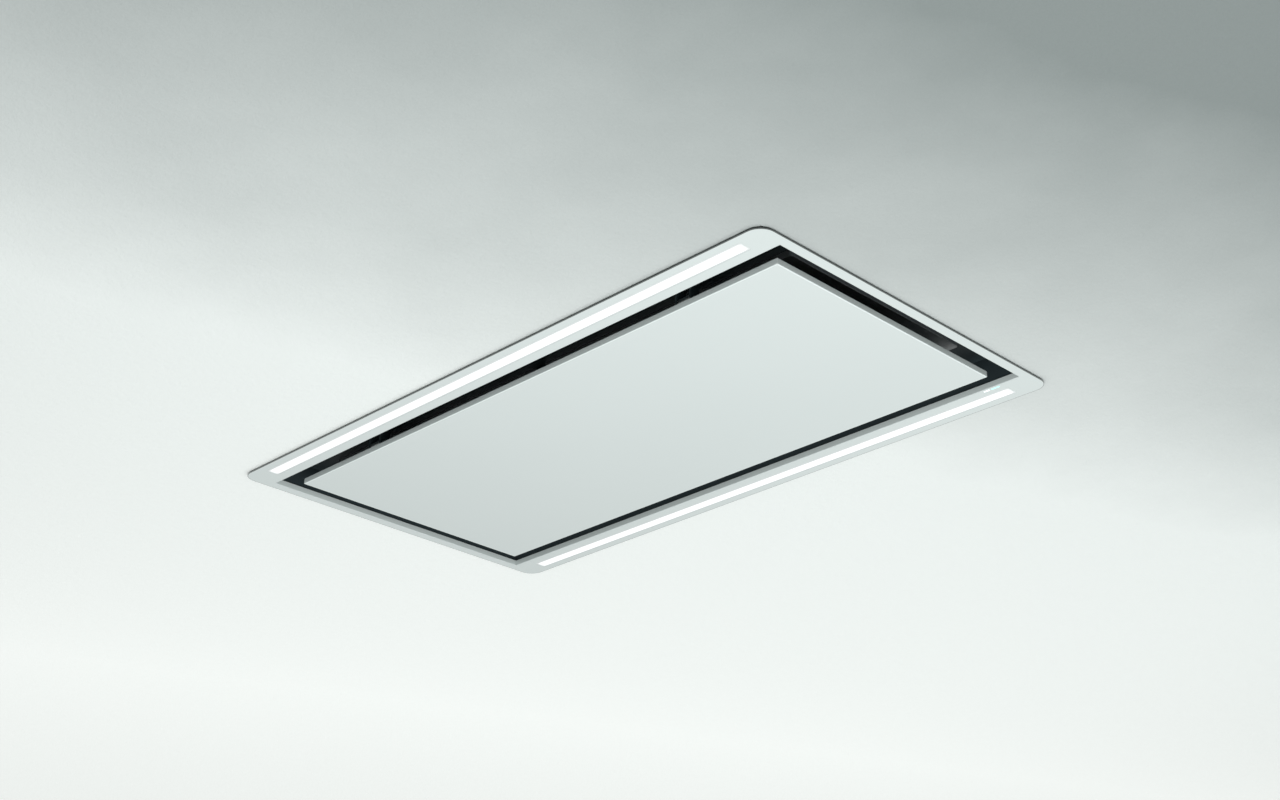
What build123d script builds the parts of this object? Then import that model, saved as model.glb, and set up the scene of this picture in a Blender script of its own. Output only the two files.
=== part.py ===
from build123d import *
from math import atan2, cos, degrees, pi, radians, sin
import os

# Ceiling range hood with a perimeter slot round a hinged panel.
# Millimetres. z = 0 is the face of the ceiling, +Z points up into the ceiling void.
# +X is the length, +Y is the front, where the catches and the signal lights are.

# ---------------------------------------------------------------- driving sizes
# Frame that laps over the ceiling
frame_length = 1000.0
frame_width = 565.0
frame_corner_radius = 21.0
frame_sheet = 1.5
gasket_height = 2.5
gasket_width = 5.0
gasket_inset = 2.0
end_room = 2.8
signal_room = 10.0
return_height = 8.5
edge_overlap = 8.0
lip_radius = 1.0

# Swinging panel
panel_gap = 29.0
panel_sheet = 1.2
panel_depth = 8.5
panel_drop = 0.5
hem_width = 10.0
backing_sheet = 1.0
backing_margin = 16.0
rib_height = 4.5
rib_width = 24.0
rib_inset = 69.0

# Casing above the ceiling
housing_height = 160.0
housing_sheet = 1.2
cover_flange = 16.0
cover_bead_height = 3.0
cover_bead_width = 22.0

# Recess and its filters
recess_height = 41.0
tray_sheet = 1.2
tray_rim_height = 8.0
weld_gap = 0.05
filter_end_margin = 45.0
filter_side_margin = 69.0
filter_gap = 20.0
filter_depth = 9.0
filter_border = 12.0
filter_offset = 4.0
filter_sheet = 1.5
filter_collar_height = 6.0
mesh_depth = 6.0
latch_travel = 7.0
latch_hook = 6.0
bolt_height = 3.0

# Panel hinge and catches
hinge_margin = 156.0
hinge_inset = 12.0
hinge_height = 12.0
hinge_pin_radius = 2.5
hinge_knuckle_radius = 5.0
hinge_ear_radius = 6.0
hinge_knuckle_width = 20.0
hinge_ear_sheet = 3.0
bracket_sheet = 2.0
bracket_foot = 28.0
magnet_length = 40.0
magnet_width = 10.0
magnet_height = 6.0
striker_height = 2.0

# Lights
strip_margin = 44.0
strip_width = 19.0
profile_width = 26.0
profile_height = 14.0
profile_wall = 1.5
board_sheet = 1.6
lens_lip = 1.5
signal_inset = 4.9
signal_width = 2.6
status_inset = 54.0
status_length = 9.0
display_inset = 40.5
display_length = 13.0

# Blower
fan_x = -100.0
fan_front_gap = 284.5
fan_radius = 110.0
blade_inner_radius = 88.0
blade_count = 38
blade_sheet = 1.2
blade_sweep = 9.0
blade_curve = 17.0
scroll_start_radius = 132.0
scroll_growth = 28.0
scroll_wall = 2.5
scroll_floor = 66.0
mount_height = 16.3
tongue_angle = 115.0
tongue_radius = 5.0
scroll_exit = 200.0
inlet_radius = 80.0
inlet_flange = 16.0
inlet_flare = 3.0
inlet_sheet = 1.5
inlet_wall = 4.0
motor_radius = 42.0
motor_flange_radius = 58.0
motor_lift = 30.5
motor_cap_height = 9.0
shaft_radius = 4.0
bearing_radius = 11.0
bearing_height = 7.0
mount_circle = 120.0
mount_radius = 9.0
mount_bolt_radius = 3.0

# Air outlet on the left end
duct_mouth_width = 150.0
duct_headroom = 3.0
duct_footroom = 4.1
duct_wall = 2.0
spigot_radius = 74.5
spigot_wall = 2.2
spigot_length = 50.0
spigot_drop = 14.3
adapter_length = 55.0
adapter_plate = 3.0
adapter_border = 18.0
stop_reach = 5.0
flap_sheet = 1.2
flap_pin_radius = 2.0
flap_knuckle_radius = 4.0
flap_knuckle_length = 30.0

# Electrics at the right end
control_end_gap = 112.0
control_side_gap = 29.5
control_length = 180.0
control_width = 110.0
control_depth = 50.0
control_wall = 2.0
capacitor_radius = 8.0
terminal_width = 14.0
terminal_pitch = 10.0
driver_length = 150.0
driver_width = 40.0
driver_height = 30.0
gland_radius = 8.0
gland_bore_radius = 4.5
gland_drop = 28.8

# Hangers
rail_margin = 62.0
rail_hole_margin = 49.5
rail_width = 40.0
rail_height = 14.0
rail_sheet = 2.0
rod_hole_radius = 4.5

# Fasteners and clearances
screw_radius = 2.0
screw_head_radius = 4.0
screw_head_height = 2.2
screw_length = 3.5
hanger_screw_length = 5.4
hole_clearance = 0.1
seat_gap = 0.3
running_gap = 0.03
round_sides = 24
shank_sides = 6
lens_gap = 0.3

# ---------------------------------------------------------------- worked-out places
frame_top = -gasket_height
frame_bottom = frame_top - frame_sheet
return_top = frame_bottom + return_height
body_length = frame_length - 2 * edge_overlap
body_width = frame_width - 2 * edge_overlap
inner_length = body_length - 2 * housing_sheet
inner_width = body_width - 2 * housing_sheet
cover_bottom = housing_height - housing_sheet
# what stands between the opening and the frame's outer edge sets the width of the rim
fold_room = frame_sheet + seat_gap + tray_sheet
end_rim = fold_room + end_room + housing_sheet + edge_overlap
side_rim = fold_room + signal_room + profile_width + seat_gap + housing_sheet + edge_overlap
opening_length = frame_length - 2 * end_rim
opening_width = frame_width - 2 * side_rim
strip_length = frame_length - 2 * strip_margin
strip_offset = inner_width / 2 - seat_gap - profile_width / 2
signal_offset = opening_width / 2 + signal_inset
status_x = opening_length / 2 - status_inset
display_x = opening_length / 2 - display_inset
rail_spread = body_length - 2 * rail_margin
rail_hole_spread = body_width - 2 * rail_hole_margin
control_x = body_length / 2 - control_end_gap - control_length / 2
control_y = control_side_gap + control_width / 2 - body_width / 2
gland_height = cover_bottom - gland_drop
fan_y = body_width / 2 - fan_front_gap

panel_length = opening_length - 2 * panel_gap
panel_width = opening_width - 2 * panel_gap
panel_bottom = frame_bottom - panel_drop
panel_top = panel_bottom + panel_depth
backing_bottom = panel_bottom + panel_sheet
backing_top = backing_bottom + backing_sheet

deck_bottom = recess_height
deck_top = deck_bottom + tray_sheet
tray_inner_length = opening_length + 2 * (frame_sheet + seat_gap)
tray_inner_width = opening_width + 2 * (frame_sheet + seat_gap)
tray_rim_top = deck_top + tray_rim_height
filter_length = opening_length / 2 - filter_end_margin - filter_gap / 2
filter_width = opening_width - 2 * filter_side_margin
filter_pitch = filter_length + filter_gap
filter_hole_length = filter_length - 2 * filter_border + 4.0
filter_hole_width = filter_width - 2 * filter_border + 4.0
filter_bottom = deck_bottom - filter_depth

hinge_y = -(panel_width / 2 - hinge_inset)
hinge_x = panel_length / 2 - hinge_margin
hinge_ear_x = hinge_knuckle_width / 2 + seat_gap + hinge_ear_sheet / 2
catch_y = panel_width / 2 - 1.0

scroll_top = cover_bottom - mount_height
scroll_roof = scroll_top - scroll_wall
scroll_height = scroll_roof - scroll_floor
blade_bottom = scroll_floor + 7.0
blade_top = scroll_roof - 6.0
duct_y = fan_y + (
    scroll_start_radius * (1 + sin(radians(tongue_angle))) + 3 * scroll_growth
) / 2
duct_start_x = fan_x - scroll_exit
duct_end_x = -inner_length / 2
duct_mouth_top = cover_bottom - housing_sheet - seat_gap - duct_headroom - duct_wall
duct_mouth_foot = tray_rim_top + duct_footroom + duct_wall
duct_mouth_height = duct_mouth_top - duct_mouth_foot
duct_mouth_z = (duct_mouth_top + duct_mouth_foot) / 2
spigot_height = duct_mouth_z - spigot_drop
adapter_x = -body_length / 2 - adapter_plate
spigot_x = adapter_x - adapter_length
flap_pin_x = spigot_x - 6.0
spigot_bore = spigot_radius - spigot_wall
# a many-sided hole or post is drawn this much larger, so that its flats keep the stated radius
flat_stretch = 1 / cos(pi / round_sides)

os.makedirs("parts", exist_ok=True)


def save(piece, name):
    """Label a finished piece and write it as its own file."""
    piece.label = name
    export_step(piece, f"parts/{name}.step")


def hole_faces(places, radius):
    """Small many-sided faces square to each place's local Z, for screw holes and shanks."""
    with BuildSketch(*[Plane(place) for place in places]) as faces:
        RegularPolygon(radius, shank_sides)
    return faces.sketch


# ---------------------------------------------------------------- screw places
end_tab_ys = (0.0,)
side_tab_x = strip_length / 2 + 18.0
tab_width = 20.0
tab_height = 14.0
tab_screw_z = frame_top + tab_height - 5.0
tray_screw_z = deck_top + tray_rim_height / 2
side_tray_xs = (162.0 - body_length / 2, body_length / 2 - 162.0)
cover_screw_xs = (180.0 - rail_spread / 2, 0.0, rail_spread / 2 - 180.0)
cover_screw_y = body_width / 2 - housing_sheet - cover_flange / 2
cover_end_x = body_length / 2 - housing_sheet - cover_flange / 2
hatch_length = control_length + 16.0
hatch_width = control_width + 16.0
hatch_screw_dx = hatch_length / 2 - 5.0
hatch_screw_dy = hatch_width / 2 - 5.0
through = 2 * housing_sheet
drill_radius = screw_radius + hole_clearance
bolt_drill_radius = mount_bolt_radius + hole_clearance
adapter_screw_dy = duct_mouth_width / 2 + adapter_border / 2
adapter_screw_dz = duct_mouth_height / 2 - 10.0
rail_foot = 12.0
rail_screw_dx = rail_width / 2 + rail_foot / 2
rail_screw_xs = tuple(s * (rail_spread / 2 - rail_screw_dx) for s in (-1, 1))

# ---------------------------------------------------------------- frame
with BuildPart() as flange_frame:
    with BuildSketch(Plane.XY.offset(frame_bottom)):
        RectangleRounded(frame_length, frame_width, frame_corner_radius)
        Rectangle(opening_length, opening_width, mode=Mode.SUBTRACT)
        with Locations((0, strip_offset), (0, -strip_offset)):
            Rectangle(
                strip_length + 2 * lens_gap, strip_width + 2 * lens_gap, mode=Mode.SUBTRACT
            )
        with Locations((status_x, signal_offset)):
            Rectangle(status_length, signal_width, mode=Mode.SUBTRACT)
        with Locations((display_x, signal_offset)):
            Rectangle(display_length, signal_width, mode=Mode.SUBTRACT)
    extrude(amount=frame_sheet)
    # wall folded up round the opening
    with BuildSketch(Plane.XY.offset(frame_bottom)):
        Rectangle(opening_length + 2 * frame_sheet, opening_width + 2 * frame_sheet)
        Rectangle(opening_length, opening_width, mode=Mode.SUBTRACT)
    extrude(amount=return_height)
    # soft bend where the sheet turns up into the opening, and a broken outer edge
    bottom_edges = flange_frame.edges().group_by(Axis.Z)[0]
    lip_edges = bottom_edges.filter_by_position(Axis.X, -opening_length / 2, opening_length / 2)
    lip_edges = lip_edges.filter_by_position(Axis.Y, -opening_width / 2, opening_width / 2)
    lip_edges = lip_edges.filter_by(lambda edge: edge.length > opening_width - 1)
    fillet(lip_edges, lip_radius)
    # upstanding tabs that the casing walls are screwed to
    with BuildSketch(Plane.XY.offset(frame_top)):
        for side in (-1, 1):
            with Locations(*[(side * (inner_length - frame_sheet) / 2, y) for y in end_tab_ys]):
                Rectangle(frame_sheet, tab_width)
            with Locations(*[(x * side_tab_x, side * (inner_width - frame_sheet) / 2) for x in (-1, 1)]):
                Rectangle(tab_width, frame_sheet)
    extrude(amount=tab_height)
    tab_places = [Pos(0, y, tab_screw_z) * Rot(0, 90, 0) for y in end_tab_ys]
    extrude(hole_faces(tab_places, drill_radius), amount=body_length, both=True, mode=Mode.SUBTRACT)
    tab_places = [Pos(x * side_tab_x, 0, tab_screw_z) * Rot(90, 0, 0) for x in (-1, 1)]
    extrude(hole_faces(tab_places, drill_radius), amount=body_width, both=True, mode=Mode.SUBTRACT)
save(flange_frame.part, "flange_frame")

with BuildPart() as ceiling_gasket:
    with BuildSketch(Plane.XY.offset(frame_top)):
        RectangleRounded(
            frame_length - 2 * gasket_inset,
            frame_width - 2 * gasket_inset,
            frame_corner_radius - gasket_inset,
        )
        Rectangle(
            frame_length - 2 * (gasket_inset + gasket_width),
            frame_width - 2 * (gasket_inset + gasket_width),
            mode=Mode.SUBTRACT,
        )
    extrude(amount=gasket_height)
save(ceiling_gasket.part, "ceiling_gasket")

# ---------------------------------------------------------------- casing walls
bead_length = 300.0
bead_width = 14.0
bead_depth = 3.0
bead_z = (tray_rim_top + cover_bottom) / 2


def side_wall(side):
    """Long casing wall with a fold at the top and two pressed stiffening beads."""
    outer_y = side * body_width / 2
    middle_y = side * (body_width - housing_sheet) / 2
    with BuildPart() as wall:
        with Locations((0, middle_y, (frame_top + cover_bottom) / 2)):
            Box(body_length, housing_sheet, cover_bottom - frame_top)
        with Locations((0, side * (inner_width - cover_flange) / 2, cover_bottom - housing_sheet / 2)):
            Box(inner_length, cover_flange, housing_sheet)
        with Locations((-bead_length * 0.75, middle_y - side * bead_depth / 2, bead_z),
                       (bead_length * 0.75, middle_y - side * bead_depth / 2, bead_z)):
            Box(bead_length, housing_sheet + bead_depth, bead_width)
        with Locations((-bead_length * 0.75, outer_y, bead_z), (bead_length * 0.75, outer_y, bead_z)):
            Box(
                bead_length - 2 * housing_sheet,
                2 * bead_depth,
                bead_width - 2 * housing_sheet,
                mode=Mode.SUBTRACT,
            )
        screw_points = [(x * side_tab_x, tab_screw_z) for x in (-1, 1)]
        screw_points += [(x, tray_screw_z) for x in side_tray_xs]
        places = [Pos(x, outer_y, z) * Rot(90, 0, 0) for x, z in screw_points]
        extrude(hole_faces(places, drill_radius), amount=through, both=True, mode=Mode.SUBTRACT)
        places = [Pos(x, side * cover_screw_y, cover_bottom) for x in cover_screw_xs + rail_screw_xs]
        extrude(hole_faces(places, drill_radius), amount=through, both=True, mode=Mode.SUBTRACT)
    return wall.part


def end_wall(side):
    """Short casing wall between the long ones, with folds at the top and both sides."""
    fold = 14.0
    fold_bottom = tray_rim_top + 6.0
    fold_top = cover_bottom - housing_sheet
    middle_x = side * (body_length - housing_sheet) / 2
    with BuildPart() as wall:
        with Locations((middle_x, 0, (frame_top + cover_bottom) / 2)):
            Box(housing_sheet, inner_width, cover_bottom - frame_top)
        with Locations((side * (inner_length - cover_flange) / 2, 0, cover_bottom - housing_sheet / 2)):
            Box(cover_flange, inner_width - 2 * cover_flange - 2 * seat_gap, housing_sheet)
        fold_y = (inner_width - housing_sheet) / 2
        with Locations(
            (side * (inner_length - fold) / 2, fold_y, (fold_bottom + fold_top) / 2),
            (side * (inner_length - fold) / 2, -fold_y, (fold_bottom + fold_top) / 2),
        ):
            Box(fold, housing_sheet, fold_top - fold_bottom)
        places = [Pos(side * body_length / 2, y, tab_screw_z) * Rot(0, 90, 0) for y in end_tab_ys]
        extrude(hole_faces(places, drill_radius), amount=through, both=True, mode=Mode.SUBTRACT)
        places = [Pos(side * cover_end_x, 0, cover_bottom)]
        extrude(hole_faces(places, drill_radius), amount=through, both=True, mode=Mode.SUBTRACT)
        if side < 0:
            # mouth of the outlet duct and the screws of its adapter
            with Locations((middle_x, duct_y, duct_mouth_z)):
                Box(4 * housing_sheet, duct_mouth_width, duct_mouth_height, mode=Mode.SUBTRACT)
            corners = [
                Pos(middle_x, duct_y + dy, duct_mouth_z + dz) * Rot(0, 90, 0)
                for dy in (-adapter_screw_dy, adapter_screw_dy)
                for dz in (-adapter_screw_dz, adapter_screw_dz)
            ]
            extrude(hole_faces(corners, drill_radius), amount=through, both=True, mode=Mode.SUBTRACT)
        else:
            # hole of the cable gland
            with BuildSketch(Plane((middle_x, control_y, gland_height), z_dir=(1, 0, 0))):
                RegularPolygon(gland_radius + hole_clearance, round_sides)
            extrude(amount=2 * housing_sheet, both=True, mode=Mode.SUBTRACT)
    return wall.part


save(side_wall(1), "side_wall_front")
save(side_wall(-1), "side_wall_back")
save(end_wall(-1), "end_wall_left")
save(end_wall(1), "end_wall_right")

# ---------------------------------------------------------------- top cover
side_bead_y = body_width / 2 - 62.5
rear_bead_start = 80.0 - rail_spread / 2
rear_bead_end = control_x - hatch_length / 2 - 62.0
# centre, overall run and turn of each bead
bead_runs = [
    (75.0 - rail_spread / 2, 0.0, 330.0, 90.0),
    (0.0, side_bead_y, rail_spread - 240.0, 0.0),
    ((rear_bead_start + rear_bead_end) / 2, -side_bead_y, rear_bead_end - rear_bead_start, 0.0),
    (control_x - 80.0, 40.0, 240.0, 90.0),
    (control_x + 40.0, 40.0, 240.0, 90.0),
]
motor_ring_radius = 78.0
mount_points = [
    (fan_x + mount_circle * cos(a), fan_y + mount_circle * sin(a))
    for a in (pi / 4, 3 * pi / 4, 5 * pi / 4, 7 * pi / 4)
]

press_wall = 0.8


def bead_faces(inset):
    """Long beads with cut corners, each drawn in by the inset all round."""
    with BuildSketch() as beads:
        for x, y, run, turn in bead_runs:
            with BuildSketch(mode=Mode.PRIVATE) as bead:
                Rectangle(run - 2 * inset, cover_bead_width - 2 * inset)
                chamfer(bead.vertices(), cover_bead_width / 3)
            add(Pos(x, y, 0) * Rot(0, 0, turn) * bead.sketch)
    return beads.sketch


with BuildPart() as top_cover:
    with BuildSketch(Plane.XY.offset(cover_bottom)):
        Rectangle(body_length, body_width)
    extrude(amount=housing_sheet)
    # pressed beads and the round swage over the motor: raised outside, hollow inside
    with BuildSketch(Plane.XY.offset(housing_height)):
        add(bead_faces(0.0))
        with Locations((fan_x, fan_y)):
            RegularPolygon(motor_ring_radius, round_sides)
    extrude(amount=cover_bead_height, taper=40)
    with BuildSketch(Plane.XY.offset(cover_bottom)):
        add(bead_faces(press_wall))
        with Locations((fan_x, fan_y)):
            RegularPolygon(motor_ring_radius - press_wall, round_sides)
    extrude(amount=cover_bead_height, taper=40, mode=Mode.SUBTRACT)
    # window over the control box
    with BuildSketch(Plane.XY.offset(cover_bottom - housing_sheet)):
        with Locations((control_x, control_y)):
            Rectangle(control_length - 12.0, control_width - 12.0)
    extrude(amount=3 * housing_sheet, mode=Mode.SUBTRACT)
    cover_places = [Pos(x, s * cover_screw_y, housing_height) for s in (-1, 1) for x in cover_screw_xs]
    cover_places += [Pos(s * cover_end_x, 0, housing_height) for s in (-1, 1)]
    rail_places = [Pos(x, s * cover_screw_y, housing_height) for s in (-1, 1) for x in rail_screw_xs]
    hatch_places = [
        Pos(control_x + dx, control_y + dy, housing_height)
        for dx in (-hatch_screw_dx, hatch_screw_dx)
        for dy in (-hatch_screw_dy, hatch_screw_dy)
    ]
    cover_places += rail_places + hatch_places
    extrude(hole_faces(cover_places, drill_radius), amount=through, both=True, mode=Mode.SUBTRACT)
    bolt_places = [Pos(x, y, housing_height) for x, y in mount_points]
    extrude(hole_faces(bolt_places, bolt_drill_radius), amount=through, both=True, mode=Mode.SUBTRACT)
save(top_cover.part, "top_cover")

with BuildPart() as service_hatch:
    with BuildSketch(Plane.XY.offset(housing_height)):
        with Locations((control_x, control_y)):
            Rectangle(hatch_length, hatch_width)
            with GridLocations(2 * hatch_screw_dx, 2 * hatch_screw_dy, 2, 2):
                RegularPolygon(drill_radius, shank_sides, mode=Mode.SUBTRACT)
    extrude(amount=housing_sheet)
    with BuildSketch(Plane.XY.offset(housing_height + housing_sheet)):
        with Locations((control_x, control_y)):
            Rectangle(hatch_length - 40.0, hatch_width - 40.0)
    extrude(amount=cover_bead_height / 2, taper=40)
save(service_hatch.part, "service_hatch")


def hanger_rail(side):
    """Hat-section rail across the cover; two rod holes in its raised web."""
    with BuildPart() as rail:
        with BuildSketch(Plane.XZ.offset(-body_width / 2)):
            with Locations((side * rail_spread / 2, housing_height + rail_height / 2)):
                Rectangle(rail_width, rail_height)
            with Locations((side * rail_spread / 2, housing_height + (rail_height - rail_sheet) / 2)):
                Rectangle(rail_width - 2 * rail_sheet, rail_height - rail_sheet, mode=Mode.SUBTRACT)
            with Locations(
                (side * rail_spread / 2 - rail_screw_dx, housing_height + rail_sheet / 2),
                (side * rail_spread / 2 + rail_screw_dx, housing_height + rail_sheet / 2),
            ):
                Rectangle(rail_foot, rail_sheet)
        extrude(amount=body_width)
        with Locations((side * rail_spread / 2, 0, housing_height + rail_height)):
            with GridLocations(0, rail_hole_spread, 1, 2):
                Cylinder(rod_hole_radius, 4 * rail_sheet, mode=Mode.SUBTRACT)
        inner_foot_x = side * (rail_spread / 2 - rail_screw_dx)
        foot_places = [Pos(inner_foot_x, t * cover_screw_y, housing_height) for t in (-1, 1)]
        extrude(hole_faces(foot_places, drill_radius), amount=2 * rail_sheet, both=True, mode=Mode.SUBTRACT)
    return rail.part


save(hanger_rail(-1), "hanger_rail_left")
save(hanger_rail(1), "hanger_rail_right")

# ---------------------------------------------------------------- screws


def screw_group(places, length):
    """Equal hex-head screws; each place is the point under the head, local +Z out of the work."""
    with BuildPart() as group:
        with BuildSketch(*[Plane(place) for place in places]):
            RegularPolygon(screw_radius, shank_sides)
        extrude(amount=-length)
        with BuildSketch(*[Plane(place) for place in places]):
            RegularPolygon(screw_head_radius, 6)
        extrude(amount=screw_head_height)
    return group.part


casing_places = [
    Pos(side * body_length / 2, y, tab_screw_z) * Rot(0, side * 90, 0)
    for side in (-1, 1)
    for y in end_tab_ys
]
casing_places += [
    Pos(x * side_tab_x, side * body_width / 2, tab_screw_z) * Rot(-side * 90, 0, 0)
    for side in (-1, 1)
    for x in (-1, 1)
]
casing_places += [
    Pos(x, side * body_width / 2, tray_screw_z) * Rot(-side * 90, 0, 0)
    for side in (-1, 1)
    for x in side_tray_xs
]
casing_places += [
    Pos(x, side * cover_screw_y, housing_height) for side in (-1, 1) for x in cover_screw_xs
]
casing_places += [Pos(side * cover_end_x, 0, housing_height) for side in (-1, 1)]
casing_places += [
    Pos(control_x + dx, control_y + dy, housing_height + housing_sheet)
    for dx in (-hatch_screw_dx, hatch_screw_dx)
    for dy in (-hatch_screw_dy, hatch_screw_dy)
]
save(screw_group(casing_places, screw_length), "casing_screws")

hanger_places = [
    Pos(x, t * cover_screw_y, housing_height + rail_sheet) for t in (-1, 1) for x in rail_screw_xs
]
adapter_places = [
    Pos(adapter_x, duct_y + dy, duct_mouth_z + dz) * Rot(0, -90, 0)
    for dy in (-adapter_screw_dy, adapter_screw_dy)
    for dz in (-adapter_screw_dz, adapter_screw_dz)
]
save(screw_group(hanger_places + adapter_places, hanger_screw_length), "mounting_screws")

# ---------------------------------------------------------------- recess tray
filter_centres = [(-filter_pitch / 2, filter_offset), (filter_pitch / 2, filter_offset)]

with BuildPart() as intake_deck:
    deck_length = inner_length - 2 * seat_gap
    deck_width = inner_width - 2 * seat_gap
    with BuildSketch(Plane.XY.offset(deck_bottom)):
        Rectangle(deck_length, deck_width)
        with Locations(*filter_centres):
            Rectangle(filter_hole_length, filter_hole_width, mode=Mode.SUBTRACT)
    extrude(amount=tray_sheet)
    # rim turned up along the casing walls
    with BuildSketch(Plane.XY.offset(deck_bottom)):
        Rectangle(deck_length, deck_width)
        Rectangle(deck_length - 2 * tray_sheet, deck_width - 2 * tray_sheet, mode=Mode.SUBTRACT)
    extrude(amount=tray_rim_top - deck_bottom)
    rim_places = [Pos(x, 0, tray_screw_z) * Rot(90, 0, 0) for x in side_tray_xs]
    extrude(hole_faces(rim_places, drill_radius), amount=body_width, both=True, mode=Mode.SUBTRACT)
save(intake_deck.part, "intake_deck")

# four strips welded under the deck, down to the frame and just outside its own folded wall
with BuildPart() as recess_walls:
    with BuildSketch(Plane.XY.offset(frame_top)):
        with GridLocations(0, tray_inner_width + tray_sheet, 1, 2):
            Rectangle(tray_inner_length + 2 * tray_sheet, tray_sheet)
    extrude(amount=deck_bottom - frame_top)
    with BuildSketch(Plane.XY.offset(frame_top)):
        with GridLocations(tray_inner_length + tray_sheet, 0, 2, 1):
            Rectangle(tray_sheet, tray_inner_width - 2 * weld_gap)
    extrude(amount=deck_bottom - frame_top)
save(recess_walls.part, "recess_walls")

# ---------------------------------------------------------------- grease filters
collar_clearance = 1.0
collar_length = filter_hole_length - 2 * collar_clearance
collar_width = filter_hole_width - 2 * collar_clearance
collar_top = deck_bottom + filter_collar_height
window_length = filter_length - 2 * (filter_border + 8.0)
window_width = filter_width - 2 * (filter_border + 8.0)
cell_length = collar_length - 2 * filter_sheet - 2.0
cell_width = collar_width - 2 * filter_sheet - 2.0
carrier_wall = 3.0
carrier_width = 34.0
latch_length = 41.0
latch_width = 14.0
bolt_length = 30.0
bolt_bottom = deck_top + 0.5


def filter_frame(cx, cy):
    """Pressed frame: flat border, collar through the deck, rear tongues and a latch carrier."""
    front_y = cy + cell_width / 2
    carrier_y = front_y - carrier_width / 2
    with BuildPart() as frame:
        with BuildSketch(Plane.XY.offset(filter_bottom)):
            with Locations((cx, cy)):
                RectangleRounded(filter_length, filter_width, 4.0)
                Rectangle(window_length, window_width, mode=Mode.SUBTRACT)
        extrude(amount=filter_sheet)
        with BuildSketch(Plane.XY.offset(filter_bottom + filter_sheet)):
            with Locations((cx, cy)):
                RectangleRounded(filter_length, filter_width, 4.0)
                Rectangle(cell_length, cell_width, mode=Mode.SUBTRACT)
        extrude(amount=filter_depth - filter_sheet)
        with BuildSketch(Plane.XY.offset(deck_bottom)):
            with Locations((cx, cy)):
                Rectangle(collar_length, collar_width)
                Rectangle(cell_length, cell_width, mode=Mode.SUBTRACT)
        extrude(amount=filter_collar_height)
        # tongues that hook over the rear edge of the deck
        tongue_z = deck_top + seat_gap + bolt_height / 2
        tongue_y = cy - collar_width / 2 - (latch_hook + collar_clearance) / 2
        with Locations((cx, tongue_y, tongue_z)):
            with GridLocations(filter_length / 2, 0, 2, 1):
                Box(24.0, latch_hook + collar_clearance, bolt_height)
        # carrier of the sliding latch: a well that is open below and above
        with BuildSketch(Plane.XY.offset(filter_bottom)):
            with Locations((cx, carrier_y)):
                Rectangle(latch_length + 1.0 + 2 * carrier_wall, carrier_width)
        extrude(amount=collar_top - filter_bottom)
        with BuildSketch(Plane.XY.offset(filter_bottom)):
            with Locations((cx, carrier_y)):
                Rectangle(latch_length + 1.0, carrier_width - 2 * filter_sheet)
        extrude(amount=collar_top - filter_bottom, mode=Mode.SUBTRACT)
        with Locations((cx, front_y, bolt_bottom + bolt_height / 2)):
            Box(bolt_length + 2 * seat_gap, 20.0, bolt_height + 2 * seat_gap, mode=Mode.SUBTRACT)
    return frame.part


def filter_mesh(cx, cy):
    """Pack of expanded metal held in the frame, notched round the latch carrier."""
    with BuildPart() as mesh:
        with BuildSketch(Plane.XY.offset(filter_bottom + filter_sheet)):
            with Locations((cx, cy)):
                Rectangle(cell_length - 2 * seat_gap, cell_width - 2 * seat_gap)
            with Locations((cx, cy + (cell_width - carrier_width) / 2)):
                Rectangle(
                    latch_length + 1.0 + 2 * (carrier_wall + seat_gap),
                    carrier_width + 2 * seat_gap,
                    mode=Mode.SUBTRACT,
                )
        extrude(amount=mesh_depth)
    return mesh.part


def filter_latch(cx, cy):
    """Finger slide with a bolt that reaches over the front edge of the deck."""
    front_y = cy + cell_width / 2
    slide_y = front_y - filter_sheet - seat_gap - latch_width / 2
    tip_y = cy + filter_hole_width / 2 + latch_hook
    with BuildPart() as latch:
        with Locations((cx, slide_y, (filter_bottom + bolt_bottom + bolt_height) / 2)):
            Box(latch_length, latch_width, bolt_bottom + bolt_height - filter_bottom)
        with Locations((cx, (slide_y + tip_y) / 2, bolt_bottom + bolt_height / 2)):
            Box(bolt_length, tip_y - slide_y, bolt_height)
        # finger scoop seen from below
        with Locations(Pos(cx, slide_y, filter_bottom - 4.0) * Rot(0, 90, 0)):
            Cylinder(7.0, latch_length - 8.0, mode=Mode.SUBTRACT)
        tip_edges = latch.edges().filter_by(Axis.X).sort_by(Axis.Y)[-2:].sort_by(Axis.Z)[-1:]
        chamfer(tip_edges, 1.5)
    return latch.part


for label, (centre_x, centre_y) in zip(("left", "right"), filter_centres):
    save(filter_frame(centre_x, centre_y), f"filter_frame_{label}")
    save(filter_mesh(centre_x, centre_y), f"filter_mesh_{label}")
    save(filter_latch(centre_x, centre_y), f"filter_latch_{label}")

# ---------------------------------------------------------------- swinging panel
with BuildPart() as suction_panel:
    with BuildSketch(Plane.XY.offset(panel_bottom)):
        Rectangle(panel_length, panel_width)
    extrude(amount=panel_depth)
    fillet(suction_panel.edges().group_by(Axis.Z)[0], lip_radius)
    with BuildSketch(Plane.XY.offset(backing_bottom)):
        Rectangle(panel_length - 2 * panel_sheet, panel_width - 2 * panel_sheet)
    extrude(amount=panel_depth - 2 * panel_sheet, mode=Mode.SUBTRACT)
    with BuildSketch(Plane.XY.offset(panel_top - 2 * panel_sheet)):
        Rectangle(
            panel_length - 2 * (panel_sheet + hem_width),
            panel_width - 2 * (panel_sheet + hem_width),
        )
    extrude(amount=3 * panel_sheet, mode=Mode.SUBTRACT)
save(suction_panel.part, "suction_panel")

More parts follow.
